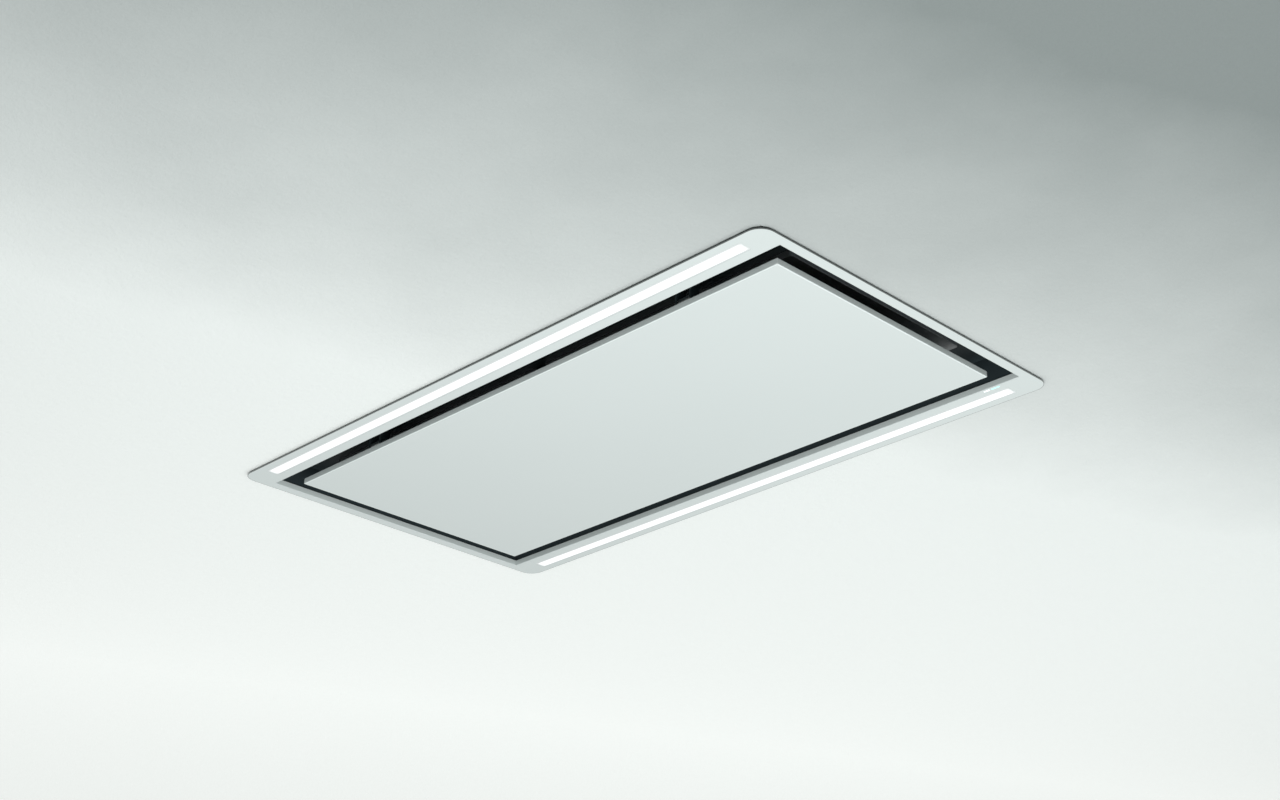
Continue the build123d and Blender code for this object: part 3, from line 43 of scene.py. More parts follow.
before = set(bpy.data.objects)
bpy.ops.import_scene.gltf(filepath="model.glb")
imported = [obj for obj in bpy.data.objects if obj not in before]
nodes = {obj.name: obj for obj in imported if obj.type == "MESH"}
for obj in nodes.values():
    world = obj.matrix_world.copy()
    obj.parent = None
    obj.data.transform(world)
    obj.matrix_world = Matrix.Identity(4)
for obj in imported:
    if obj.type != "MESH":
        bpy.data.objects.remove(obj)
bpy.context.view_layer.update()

MM = 0.001
WELD_GAP = 0.002 * MM
FLAT_ANGLE = math.radians(0.4)
SHARP_ANGLE = math.radians(40.0)

# rounds that belong to one kind of part
FOAM_ROUND = 0.4 * MM
BRACKET_ROUND = 0.25 * MM
MAGNET_ROUND = 0.4 * MM
PRESSED_ROUND = 0.3 * MM
STRIP_ROUND = 0.25 * MM
LENS_ROUND = 0.15 * MM
BOARD_ROUND = 0.1 * MM
THIN_ROUND = 0.2 * MM
CAST_ROUND = 0.8 * MM

# outlines that the painted rim shade and highlight follow: the frame's own corner radius, and a small one at the
# panel's square corners, where it only has to be wider than the rim
FRAME_CORNER = 21.0 * MM
PANEL_CORNER = 2.5 * MM

# all finishes: roughness that handling adds, roughness of a clear coat, and the rest of a glow where it has faded
MARK_ROUGHNESS = 0.15
COAT_ROUGHNESS = 0.2
FADED_GLOW = 0.15

# printed boards are 1.6 mm thick, and the parts on them stand past this height
BOARD_FACE = 1.62 * MM

# fasteners; the rivets stand in a row below the top of each long wall
SCREW_SHANK, SCREW_RISE = 2.0 * MM, 2.2 * MM
BOLT_HEAD, BOLT_SHANK, BOLT_RISE = 6.0 * MM, 3.0 * MM, 4.0 * MM
THREAD_PITCH = 0.7 * MM
RIVET_INSET = 8.0 * MM
RIVET_DROP = 14.8 * MM
RIVET_PITCH = 36.0 * MM
RIVETS_IN_ROW = 3

# stage: a plasterboard that reaches past the camera's view, the clearance of its cut-out, and the way in which it
# comes nearer to the camera, along which the plaster's painted shade and painted glow run
PLASTER_REACH = 12.0
PLASTER_THICKNESS = 12.5 * MM
CUTOUT_CLEARANCE = 2.0 * MM
NEAR_X, NEAR_Y = 0.97, -0.38
CAMERA_LENS = 53.54
CAMERA_PLACE = (1.68676, -1.66336, -1.09890)
CAMERA_TURN = (115.8153, -0.1371, 44.8339)


# ---------------------------------------------------------------- sizes and colours a user would change
class HoodSizes(bpy.types.PropertyGroup):
    edge_round: FloatProperty(
        name="Edge round", description="Round on the edges of folded sheet", default=0.3 * MM, unit="LENGTH"
    )
    lip_round: FloatProperty(
        name="Lip round", description="Round on the lips of the frame and the panel", default=0.7 * MM, unit="LENGTH"
    )
    # width of the painted shade line along the frame's cut edge
    frame_shade_line: FloatProperty(
        name="Frame rim", description="Width of the thin coat along the frame's cut edge",
        default=0.8 * MM, unit="LENGTH",
    )
    # width of the painted highlight along the panel's lip
    panel_highlight_line: FloatProperty(
        name="Panel rim", description="Width of the thick coat along the panel's lip",
        default=2.2 * MM, unit="LENGTH",
    )
    mould_round: FloatProperty(
        name="Mould round", description="Round on the edges of moulded parts", default=0.5 * MM, unit="LENGTH"
    )
    screw_head: FloatProperty(
        name="Screw head", description="Radius of the screws' hexagon", default=4.0 * MM, unit="LENGTH"
    )
    strand_pitch: FloatProperty(
        name="Mesh pitch", description="Long way of one diamond of the filter mesh",
        default=10.0 * MM, unit="LENGTH",
    )
    strand_width: FloatProperty(
        name="Strand", description="Width of one strand of the filter mesh", default=0.9 * MM, unit="LENGTH"
    )
    mesh_layers: IntProperty(
        name="Mesh layers", description="Layers of expanded metal in a filter", default=3, min=1
    )
    strip_width: FloatProperty(
        name="Strip width", description="Width of the lit part of a light strip", default=16.0 * MM, unit="LENGTH"
    )
    strip_glow: FloatProperty(
        name="Strip glow", description="Brightness of the two light strips", default=0.85, min=0.0
    )


class HoodColours(bpy.types.PropertyGroup):
    paint: FloatVectorProperty(
        name="Paint", description="Pale coat of the frame and the panel",
        subtype="COLOR", default=(0.735, 0.805, 0.795),
    )
    recess: FloatVectorProperty(
        name="Recess", description="Black coat of the tray", subtype="COLOR", default=(0.040, 0.058, 0.064)
    )
    zinc: FloatVectorProperty(
        name="Zinc", description="Hot-dip galvanised sheet", subtype="COLOR", default=(0.56, 0.58, 0.59)
    )
    moulding: FloatVectorProperty(
        name="Moulding", description="Black moulded plastic", subtype="COLOR", default=(0.022, 0.022, 0.024)
    )
    light: FloatVectorProperty(
        name="Light", description="Colour of the light strips", subtype="COLOR", default=(1.0, 1.0, 1.0)
    )
    ceiling: FloatVectorProperty(
        name="Ceiling", description="Plaster of the stage", subtype="COLOR", default=(0.86, 0.91, 0.895)
    )


# ---------------------------------------------------------------- node helpers
class Graph:
    """Adds linked nodes to one tree."""

    def __init__(self, tree):
        self.tree = tree

    def node(self, kind, values=None, **settings):
        made = self.tree.nodes.new(kind)
        for key, value in settings.items():
            setattr(made, key, value)
        for key, value in (values or {}).items():
            if isinstance(value, bpy.types.NodeSocket):
                self.tree.links.new(value, made.inputs[key])
            else:
                made.inputs[key].default_value = value
        return made

    def group(self, tree, **values):
        """A node group with its inputs set by name, with _ for a space."""
        values = {label.replace("_", " "): value for label, value in values.items()}
        return self.node("ShaderNodeGroup", values, node_tree=tree)

    def math(self, operation, a, b=0.0):
        return self.node("ShaderNodeMath", {0: a, 1: b}, operation=operation).outputs[0]

    def place(self):
        return self.node("ShaderNodeTexCoord").outputs["Object"]

    def apart(self, vector):
        return self.node("ShaderNodeSeparateXYZ", {0: vector}).outputs

    def noise(self, vector, scale, detail=3.0, roughness=0.5, distortion=0.0):
        values = {"Vector": vector, "Scale": scale, "Detail": detail}
        values |= {"Roughness": roughness, "Distortion": distortion}
        return self.node("ShaderNodeTexNoise", values).outputs["Fac"]

    def spread(self, value, low, high, new_low=0.0, new_high=1.0):
        values = {"Value": value, "From Min": low, "From Max": high, "To Min": new_low, "To Max": new_high}
        return self.node("ShaderNodeMapRange", values).outputs["Result"]

    def blend(self, factor, a, b):
        made = self.node("ShaderNodeMix", data_type="RGBA")
        for socket, value in ((made.inputs[0], factor), (made.inputs[6], a), (made.inputs[7], b)):
            if isinstance(value, bpy.types.NodeSocket):
                self.tree.links.new(value, socket)
            elif socket.type == "RGBA":
                socket.default_value = (*value[:3], 1.0)
            else:
                socket.default_value = value
        return made.outputs[2]


def shader_group(name, build, inputs, outputs):
    """A node group with named sockets; build(graph, input sockets) returns the output sockets in order."""
    tree = bpy.data.node_groups.new(name, "ShaderNodeTree")
    for label, value in inputs.items():
        socket = tree.interface.new_socket(label, in_out="INPUT", socket_type="NodeSocketFloat")
        socket.default_value = value
    for label in outputs:
        tree.interface.new_socket(label, in_out="OUTPUT", socket_type="NodeSocketFloat")
    entry = tree.nodes.new("NodeGroupInput")
    leave = tree.nodes.new("NodeGroupOutput")
    made = build(Graph(tree), entry.outputs)
    for label, socket in zip(outputs, made):
        tree.links.new(socket, leave.inputs[label])
    return tree


# ---------------------------------------------------------------- patterns: fine height and slow tone
def orange_peel(graph, given):
    """Powder coat: soft waves a few tenths of a millimetre across, with finer grit."""
    place = graph.place()
    waves = graph.noise(place, given["Scale"], detail=2.0, roughness=0.4)
    grit = graph.noise(place, graph.math("MULTIPLY", given["Scale"], 4.0), detail=2.0, roughness=0.6)
    height = graph.math("ADD", graph.math("MULTIPLY", waves, 0.8), graph.math("MULTIPLY", grit, 0.2))
    tone = graph.spread(graph.noise(place, given["Cloud"]), 0.3, 0.7)
    return height, tone


def brushed_lines(graph, given):
    """Fine lines along X that vary in strength."""
    place = graph.place()
    stretch = graph.node("ShaderNodeMapping", {"Vector": place, "Scale": (0.02, 1.0, 1.0)}).outputs[0]
    lines = graph.noise(stretch, given["Scale"], detail=5.0, roughness=0.7)
    clouds = graph.noise(place, given["Cloud"], detail=2.0)
    both = graph.math("ADD", graph.math("MULTIPLY", lines, 0.7), graph.math("MULTIPLY", clouds, 0.3))
    return lines, graph.spread(both, 0.3, 0.7)


def zinc_spangle(graph, given):
    """Crystals of a galvanised coat: each cell has its own grey, with a soft frost over them."""
    place = graph.place()
    warp_scale = graph.math("MULTIPLY", given["Scale"], 1.7)
    warp = graph.node("ShaderNodeTexNoise", {"Vector": place, "Scale": warp_scale}).outputs["Color"]
    shift = graph.node("ShaderNodeVectorMath", {0: warp, 1: (6 * MM,) * 3}, operation="MULTIPLY").outputs[0]
    bent = graph.node("ShaderNodeVectorMath", {0: place, 1: shift}, operation="ADD").outputs[0]
    cells = graph.node("ShaderNodeTexVoronoi", {"Vector": bent, "Scale": given["Scale"]}, feature="F1")
    grey = graph.node("ShaderNodeSeparateColor", {0: cells.outputs["Color"]}).outputs[0]
    frost = graph.noise(place, graph.math("MULTIPLY", given["Scale"], 6.0), detail=4.0, roughness=0.7)
    tone = graph.math("ADD", graph.math("MULTIPLY", grey, 0.7), graph.math("MULTIPLY", frost, 0.3))
    height = graph.math("ADD", graph.math("MULTIPLY", frost, 0.6), graph.math("MULTIPLY", grey, 0.15))
    return height, tone


def moulded_grain(graph, given):
    """Spark-eroded mould texture."""
    place = graph.place()
    cells = graph.node("ShaderNodeTexVoronoi", {"Vector": place, "Scale": given["Scale"]}, feature="SMOOTH_F1")
    grain = graph.math("ADD", cells.outputs["Distance"], graph.noise(place, given["Scale"], detail=2.0))
    tone = graph.spread(graph.noise(place, given["Cloud"], detail=2.0), 0.3, 0.7)
    return grain, tone


# ---------------------------------------------------------------- masks
def handling_marks(graph, given):
    """Smudges and a few hair scratches; the mask is 1 where the surface is marked."""
    place = graph.place()
    clouds = graph.noise(place, given["Scale"], detail=4.0, roughness=0.6, distortion=0.4)
    smudge = graph.spread(clouds, 0.52, 0.72)
    mapping = {"Vector": place, "Rotation": (0.3, 0.2, 0.7), "Scale": (0.05, 1.0, 1.0)}
    slanted = graph.node("ShaderNodeMapping", mapping).outputs[0]
    threads = graph.noise(slanted, graph.math("MULTIPLY", given["Scale"], 60.0), detail=1.0)
    hair = graph.spread(threads, 0.70, 0.74)
    both = graph.math("MAXIMUM", graph.math("MULTIPLY", smudge, 0.5), hair)
    return (graph.math("MULTIPLY", both, given["Amount"]),)


def strip_fade(graph, given):
    """1 along the middle of a light strip, falling to 0 at its long rims and its ends."""
    rim_fade, end_fade = 2.8 * MM, 7.0 * MM
    apart = graph.apart(graph.place())
    along = graph.math("ABSOLUTE", apart[0])
    across = graph.math("ABSOLUTE", graph.math("SUBTRACT", graph.math("ABSOLUTE", apart[1]), given["Line"]))
    rim_start = graph.math("SUBTRACT", given["Half width"], rim_fade)
    end_start = graph.math("SUBTRACT", given["Half length"], end_fade)
    rim = graph.spread(across, rim_start, given["Half width"], 1.0, 0.0)
    end = graph.spread(along, end_start, given["Half length"], 1.0, 0.0)
    return (graph.math("MULTIPLY", rim, end),)


def painted_rim_mask(graph, given):
    """1 on the rim of a rounded rectangle laid round Z, from its start inwards to the rim's width."""
    apart = graph.apart(graph.place())
    squares = []
    for axis, half in enumerate(("Half length", "Half width")):
        core = graph.math("SUBTRACT", given[half], given["Corner"])
        past = graph.math("MAXIMUM", graph.math("SUBTRACT", graph.math("ABSOLUTE", apart[axis]), core), 0.0)
        squares.append(graph.math("MULTIPLY", past, past))
    inside = graph.math("SUBTRACT", given["Corner"], graph.math("SQRT", graph.math("ADD", *squares)))
    begun = graph.math("GREATER_THAN", inside, given["Start"])
    ended = graph.spread(inside, graph.math("MULTIPLY", given["Rim"], 0.5), given["Rim"], 1.0, 0.0)
    return (graph.math("MULTIPLY", begun, ended),)


def part_mask(graph, given):
    """1 above (or, with Side -1, below) a level of Z, and a shade that differs from part to part there."""
    place = graph.place()
    above = graph.math("SUBTRACT", graph.apart(place)[2], given["Level"])
    mask = graph.spread(graph.math("MULTIPLY", above, given["Side"]), 0.0, 0.1 * MM)
    cells = graph.node("ShaderNodeTexVoronoi", {"Vector": place, "Scale": given["Scale"]}, feature="F1")
    return mask, graph.node("ShaderNodeSeparateColor", {0: cells.outputs["Color"]}).outputs[1]


groups = {}


def make_groups():
    """Builds each effect that several finishes use, once."""
    pattern_sizes = {"Scale": 500.0, "Cloud": 6.0}
    outline = {"Half length": 0.5, "Half width": 0.28, "Corner": 0.02, "Start": 0.0, "Rim": 0.001}
    for key, name, build, inputs, outputs in (
        ("peel", "Orange peel", orange_peel, pattern_sizes, ("Height", "Tone")),
        ("brushed", "Brushed lines", brushed_lines, pattern_sizes, ("Height", "Tone")),
        ("spangle", "Zinc spangle", zinc_spangle, pattern_sizes, ("Height", "Tone")),
        ("grain", "Moulded grain", moulded_grain, pattern_sizes, ("Height", "Tone")),
        ("marks", "Handling marks", handling_marks, {"Scale": 14.0, "Amount": 0.3}, ("Mask",)),
        ("fade", "Strip fade", strip_fade, {"Line": 0.26, "Half width": 0.01, "Half length": 0.45}, ("Mask",)),
        ("parts", "Fitted parts", part_mask, {"Level": 0.0, "Side": 1.0, "Scale": 30.0}, ("Mask", "Shade")),
        ("rim", "Painted rim shade and highlight", painted_rim_mask, outline, ("Mask",)),
    ):
        groups[key] = shader_group(name, build, inputs, outputs)


# ---------------------------------------------------------------- finishes
def scaled(colour, factor):
    return tuple(min(channel * factor, 1.0) for channel in colour[:3])


def finish(
    name, colour, pattern, *, scale, cloud, depth, shade, rough, marks=0.3, marked=0.85,
    metallic=0.0, specular=0.5, coat=0.0, rim=None, parts=None, glow=None, fade=None,
):
    """A Principled material for one finish.

    scale and cloud are the pattern's fine and coarse scales and depth the height of its bump in mm. Its tone moves
    the colour down to shade times itself and the roughness over rough, the smoothest and the roughest value. marks
    is how strongly handling shows, and marked the tone of a mark. rim is an outline and a colour painted along it,
    darker for a painted shade line, lighter for a painted highlight; parts a level, a side, a scale and two colours;
    glow a colour and a strength; fade the outline that the glow keeps to.
    """
    if not groups:
        make_groups()
    material = bpy.data.materials.new(name)
    material.use_nodes = True
    graph = Graph(material.node_tree)
    links = material.node_tree.links
    shader = material.node_tree.nodes["Principled BSDF"].inputs

    look = graph.group(groups[pattern], Scale=scale, Cloud=cloud).outputs
    worn = graph.group(groups["marks"], Amount=marks).outputs["Mask"]
    tint = graph.blend(look["Tone"], scaled(colour, shade), colour)
    tint = graph.blend(worn, tint, scaled(colour, marked))
    # painted shade and highlight: a darker or lighter colour laid along an outline
    if rim:
        outline, painted_rim_colour = rim
        tint = graph.blend(graph.group(groups["rim"], **outline).outputs["Mask"], tint, painted_rim_colour)
    if parts:
        level, side, part_scale, first, second = parts
        fitted = graph.group(groups["parts"], Level=level, Side=side, Scale=part_scale).outputs
        part_tint = graph.blend(graph.spread(fitted["Shade"], 0.45, 0.55), first, second)
        tint = graph.blend(fitted["Mask"], tint, part_tint)
    roughness = graph.spread(look["Tone"], 0.0, 1.0, rough[1], rough[0])
    roughness = graph.math("ADD", roughness, graph.math("MULTIPLY", worn, MARK_ROUGHNESS))
    bump = graph.node("ShaderNodeBump", {"Height": look["Height"], "Distance": depth * MM, "Strength": 1.0})
    links.new(tint, shader["Base Color"])
    links.new(roughness, shader["Roughness"])
    links.new(bump.outputs["Normal"], shader["Normal"])
    shader["Metallic"].default_value = metallic
    shader["Specular IOR Level"].default_value = specular
    shader["Coat Weight"].default_value = coat
    shader["Coat Roughness"].default_value = COAT_ROUGHNESS
    if glow:
        glow_colour, strength = glow
        shader["Emission Color"].default_value = (*glow_colour, 1.0)
        shader["Emission Strength"].default_value = strength
        if fade:
            lit = graph.group(groups["fade"], **fade).outputs["Mask"]
            links.new(graph.blend(lit, scaled(glow_colour, FADED_GLOW), glow_colour), shader["Emission Color"])
    return material


def dress(names, material, edge=0.0, segments=2, angle=SHARP_ANGLE):
    """Gives CAD nodes their finish and rounds their sharp edges."""
    for name in names:
        node = nodes[name]
        node.data.materials.clear()
        node.data.materials.append(material)
        for face in node.data.polygons:
            face.use_smooth = True
        weld = node.modifiers.new("Weld", "WELD")
        weld.merge_threshold = WELD_GAP
        flat = node.modifiers.new("Flatten", "DECIMATE")
        flat.decimate_type = "DISSOLVE"
        flat.angle_limit = FLAT_ANGLE
        if edge:
            bevel = node.modifiers.new("Round", "BEVEL")
            bevel.width = edge
            bevel.segments = segments
            bevel.limit_method = "ANGLE"
            bevel.angle_limit = angle
        normals = node.modifiers.new("Normals", "WEIGHTED_NORMAL")
        normals.weight = 50
        normals.keep_sharp = True


# ---------------------------------------------------------------- mesh helpers
def piece(name, mesh, material, body, replaced=()):
    """A finished mesh as an object that rides on a body."""
    made = bpy.data.objects.new(name, mesh)
    bpy.context.scene.collection.objects.link(made)
    if not mesh.materials:
        mesh.materials.append(material)
    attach(made, body)
    if replaced:
        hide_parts(*replaced)
    return made


def mesh_from(name, build, smooth_angle=35.0):
    """Runs build(bmesh) and returns a mesh with outward faces, smooth up to the given angle."""
    shape = bmesh.new()
    build(shape)
    bmesh.ops.remove_doubles(shape, verts=shape.verts, dist=0.001 * MM)
    bmesh.ops.recalc_face_normals(shape, faces=shape.faces)
    for face in shape.faces:
        face.smooth = True
    for edge in shape.edges:
        if len(edge.link_faces) == 2 and edge.calc_face_angle(0.0) > math.radians(smooth_angle):
            edge.smooth = False
    mesh = bpy.data.meshes.new(name)
    shape.to_mesh(mesh)
    shape.free()
    return mesh


def turned(shape, profile, sides):
    """Turns (radius, z) points round Z into a closed solid with the given number of flats."""
    steps = [2 * math.pi * i / sides for i in range(sides)]
    rings = [
        [shape.verts.new((radius * math.cos(step), radius * math.sin(step), z)) for step in steps]
        for radius, z in profile
    ]
    for low, high in zip(rings, rings[1:]):
        for i in range(sides):
            j = (i + 1) % sides
            shape.faces.new((low[i], low[j], high[j], high[i]))
    shape.faces.new(list(reversed(rings[0])))
    shape.faces.new(rings[-1])


def islands(node):
    """Point lists of the separate solids of a CAD node."""
    shape = bmesh.new()
    shape.from_mesh(nodes[node].data)
    bmesh.ops.remove_doubles(shape, verts=shape.verts, dist=WELD_GAP)
    found, seen = [], set()
    for start in shape.verts:
        if start in seen:
            continue
        stack, island = [start], []
        seen.add(start)
        while stack:
            vert = stack.pop()
            island.append(vert.co.copy())
            for edge in vert.link_edges:
                other = edge.other_vert(vert)
                if other not in seen:
                    seen.add(other)
                    stack.append(other)
        found.append(island)
    shape.free()
    return found


def fastener_places(node):
    """(point under the head, direction out of the head, shank length) of each screw in a CAD node.

    Along a screw's own axis its points lie on three planes only: shank end, under the head, head top.
    """
    places = []
    for island in islands(node):
        for axis in range(3):
            levels = sorted({round(co[axis] / MM, 2) for co in island})
            if len(levels) == 3:
                break
        else:
            raise RuntimeError(f"a fastener of {node} has no clear axis")
        ends = []
        for level in (levels[0], levels[2]):
            ring = [co for co in island if abs(co[axis] / MM - level) < 0.02]
            across = (axis + 1) % 3
            ends.append((max(co[across] for co in ring) - min(co[across] for co in ring), ring))
        head_up = ends[1][0] > ends[0][0]
        ring = ends[1 if head_up else 0][1]
        centre = sum(ring, Vector()) / len(ring)
        centre[axis] = levels[1] * MM
        direction = Vector((0.0, 0.0, 0.0))
        direction[axis] = 1.0 if head_up else -1.0
        length = levels[1] - levels[0] if head_up else levels[2] - levels[1]
        places.append((centre, direction, length * MM))
    return places


# ---------------------------------------------------------------- geometry node helpers
def geometry_tree(name, inputs):
    """An empty geometry tree with named inputs, given as (label, kind, value)."""
    tree = bpy.data.node_groups.new(name, "GeometryNodeTree")
    tree.interface.new_socket("Points", in_out="INPUT", socket_type="NodeSocketGeometry")
    for label, kind, value in inputs:
        socket = tree.interface.new_socket(label, in_out="INPUT", socket_type=kind)
        if value is not None:
            socket.default_value = value
    tree.interface.new_socket("Result", in_out="OUTPUT", socket_type="NodeSocketGeometry")
    return tree, Graph(tree), tree.nodes.new("NodeGroupInput").outputs


def end_tree(tree, graph, geometry, material):
    """Realises what a tree has made and gives it its material."""
    real = graph.node("GeometryNodeRealizeInstances", {"Geometry": geometry})
    done = graph.node("GeometryNodeSetMaterial", {"Geometry": real.outputs[0], "Material": material})
    leave = tree.nodes.new("NodeGroupOutput")
    tree.links.new(done.outputs[0], leave.inputs["Result"])
    return tree


def instance_tree(name, material):
    """Sets one object on every point of a mesh, turned along its 'aim' attribute."""
    inputs = (("Item", "NodeSocketObject", None), ("Size", "NodeSocketFloat", 1.0))
    tree, graph, given = geometry_tree(name, inputs)
    item = graph.node("GeometryNodeObjectInfo", {"Object": given["Item"]}, transform_space="ORIGINAL")
    aim = graph.node("GeometryNodeInputNamedAttribute", {"Name": "aim"}, data_type="FLOAT_VECTOR")
    turn = graph.node("FunctionNodeAlignRotationToVector", {"Vector": aim.outputs[0]}, axis="Z")
    values = {"Points": given["Points"], "Instance": item.outputs["Geometry"]}
    values |= {"Rotation": turn.outputs[0], "Scale": given["Size"]}
    spots = graph.node("GeometryNodeInstanceOnPoints", values)
    return end_tree(tree, graph, spots.outputs[0], material)


def diamond_tree(name, material):
    """A sheet of expanded metal: one diamond of four strands, set corner to corner on a grid."""
    sizes = (("Length", 0.4), ("Width", 0.3), ("Pitch", 0.01), ("Strand", 0.0009), ("Level", 0.0))
    tree, graph, given = geometry_tree(name, [(label, "NodeSocketFloat", value) for label, value in sizes])
    slope = graph.math("MULTIPLY", given["Pitch"], 0.3)
    row_pitch = graph.math("MULTIPLY", slope, 2.0)
    columns = graph.math("FLOOR", graph.math("DIVIDE", given["Length"], given["Pitch"]))
    rows = graph.math("FLOOR", graph.math("DIVIDE", given["Width"], row_pitch))
    grid = graph.node(
        "GeometryNodeMeshGrid",
        {
            "Size X": graph.math("MULTIPLY", graph.math("SUBTRACT", columns, 1.0), given["Pitch"]),
            "Size Y": graph.math("MULTIPLY", graph.math("SUBTRACT", rows, 1.0), row_pitch),
            "Vertices X": columns,
            "Vertices Y": rows,
        },
    )
    # a diamond's corners touch the next ones, and the gaps between them are the rest of the net
    kite = {"Width": given["Pitch"], "Bottom Height": slope, "Top Height": slope}
    path = graph.node("GeometryNodeCurvePrimitiveQuadrilateral", kite, mode="KITE")
    round_wire = {"Resolution": 3, "Radius": graph.math("MULTIPLY", given["Strand"], 0.5)}
    section = graph.node("GeometryNodeCurvePrimitiveCircle", round_wire)
    curves = {"Curve": path.outputs[0], "Profile Curve": section.outputs[0]}
    strands = graph.node("GeometryNodeCurveToMesh", curves)
    values = {"Points": grid.outputs[0], "Instance": strands.outputs[0]}
    spots = graph.node("GeometryNodeInstanceOnPoints", values)
    lift = graph.node("ShaderNodeCombineXYZ", {2: given["Level"]})
    moved = graph.node("GeometryNodeTransform", {"Geometry": spots.outputs[0], "Translation": lift.outputs[0]})
    return end_tree(tree, graph, moved.outputs[0], material)


def grown(name, tree, mesh, **values):
    """Runs a geometry tree over a mesh with the named values and returns the result as a plain mesh."""
    holder = bpy.data.objects.new(name, mesh)
    bpy.context.scene.collection.objects.link(holder)
    modifier = holder.modifiers.new("Tree", "NODES")
    modifier.node_group = tree
    for item in tree.interface.items_tree:
        if item.item_type == "SOCKET" and item.in_out == "INPUT" and item.name in values:
            modifier[item.identifier] = values[item.name]
    made = bpy.data.meshes.new_from_object(holder.evaluated_get(bpy.context.evaluated_depsgraph_get()))
    bpy.data.objects.remove(holder)
    if not made.polygons:
        raise RuntimeError(f"{name} came out empty")
    return made


def point_mesh(name, places):
    """Points with an 'aim' direction each."""
    mesh = bpy.data.meshes.new(name)
    mesh.from_pydata([place for place, _ in places], [], [])
    aims = mesh.attributes.new("aim", "FLOAT_VECTOR", "POINT")
    for i, (_, direction) in enumerate(places):
        aims.data[i].vector = direction
    return mesh


def scattered(name, places, item_mesh, material, body, replaced=()):
    """One mesh of equal items on (point, direction) places."""
    item = bpy.data.objects.new(name + "_item", item_mesh)
    tree = instance_tree(name, material)
    made = grown(name + "_points", tree, point_mesh(name + "_spots", places), Item=item)
    bpy.data.objects.remove(item)
    made.materials.clear()
    return piece(name, made, material, body, replaced)


# ---------------------------------------------------------------- operators
class HOOD_OT_painted_parts(bpy.types.Operator):
    """Pale powder coat on the frame and the swinging panel, with a painted shade line along the frame's edge and a
    painted highlight along the panel's lip, and the foam strip behind the frame
    """

    bl_idname = "hood.painted_parts"
    bl_label = "Frame and panel"

    def coat_with_painted_rim(self, name, node, paint, corner, start, rim, tone):
        """The powder coat with a colour painted along the outline of a node: a tone under 1 paints a shade line
        there, a tone over 1 a highlight.
        """
        corner_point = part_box(node)[1]
        outline = dict(
            Half_length=corner_point.x, Half_width=corner_point.y, Corner=corner, Start=start, Rim=rim
        )
        return finish(
            name, paint, "peel", scale=1400.0, cloud=3.0, depth=0.006, shade=0.985, rough=(0.28, 0.34),
            coat=0.3, marks=0.08, marked=0.97, rim=(outline, scaled(paint, tone)),
        )

    def execute(self, context):
        sizes, paint = context.scene.hood_sizes, tuple(context.scene.hood_colours.paint)
        # painted shade: a darker line on the frame's cut edge and its side face; painted highlight: a lighter line
        # on the panel's folded lip
        frame_coat = self.coat_with_painted_rim(
            "frame_powder_coat", "flange_frame", paint, FRAME_CORNER, start=-1.0 * MM, rim=sizes.frame_shade_line, tone=0.2
        )
        panel_coat = self.coat_with_painted_rim(
            "panel_powder_coat", "suction_panel", paint, PANEL_CORNER, start=0.05 * MM, rim=sizes.panel_highlight_line, tone=1.2
        )
        foam = finish(
            "closed_cell_foam", (0.018, 0.019, 0.020), "grain", scale=1500.0, cloud=20.0, depth=0.12, shade=0.7,
            rough=(0.85, 0.95), specular=0.2,
        )
        dress(("flange_frame",), frame_coat, sizes.lip_round, segments=3)
        dress(("suction_panel",), panel_coat, sizes.lip_round, segments=3)
        dress(("ceiling_gasket",), foam, FOAM_ROUND)
        return {"FINISHED"}


class HOOD_OT_casing(bpy.types.Operator):
    """Galvanised casing, hatch, hanger rails, panel backing and outlet duct"""

    bl_idname = "hood.casing"
    bl_label = "Casing"

    def execute(self, context):
        zinc = finish(
            "galvanised_sheet", tuple(context.scene.hood_colours.zinc), "spangle", scale=85.0, cloud=6.0,
            depth=0.02, shade=0.74, rough=(0.34, 0.52), metallic=0.85, marks=0.35,
        )
        sheets = (
            "side_wall_front", "side_wall_back", "end_wall_left", "end_wall_right", "top_cover", "service_hatch",
            "hanger_rail_left", "hanger_rail_right", "panel_backing", "outlet_duct",
        )
        dress(sheets, zinc, context.scene.hood_sizes.edge_round)
        return {"FINISHED"}


class HOOD_OT_recess(bpy.types.Operator):
    """Black tray with its hinge and catch brackets"""

    bl_idname = "hood.recess"
    bl_label = "Recess tray"

    def execute(self, context):
        black = finish(
            "black_powder_coat", tuple(context.scene.hood_colours.recess), "peel", scale=1100.0, cloud=5.0,
            depth=0.012, shade=0.8, rough=(0.42, 0.55), marks=0.25, marked=1.6,
        )
        steel = finish(
            "zinc_plated_steel", (0.60, 0.61, 0.60), "brushed", scale=900.0, cloud=12.0, depth=0.006, shade=0.86,
            rough=(0.26, 0.42), metallic=1.0,
        )
        nickel = finish(
            "nickel_plated_magnet", (0.42, 0.41, 0.40), "grain", scale=700.0, cloud=18.0, depth=0.003, shade=0.9,
            rough=(0.16, 0.28), metallic=1.0,
        )
        dress(("intake_deck", "recess_walls"), black, context.scene.hood_sizes.edge_round)
        dress(("hinge_bracket_left", "hinge_bracket_right", "catch_brackets"), black, BRACKET_ROUND)
        dress(("hinge_arm_left", "hinge_arm_right", "hinge_pins", "striker_plates"), steel, BRACKET_ROUND)
        dress(("catch_magnets",), nickel, MAGNET_ROUND)
        return {"FINISHED"}


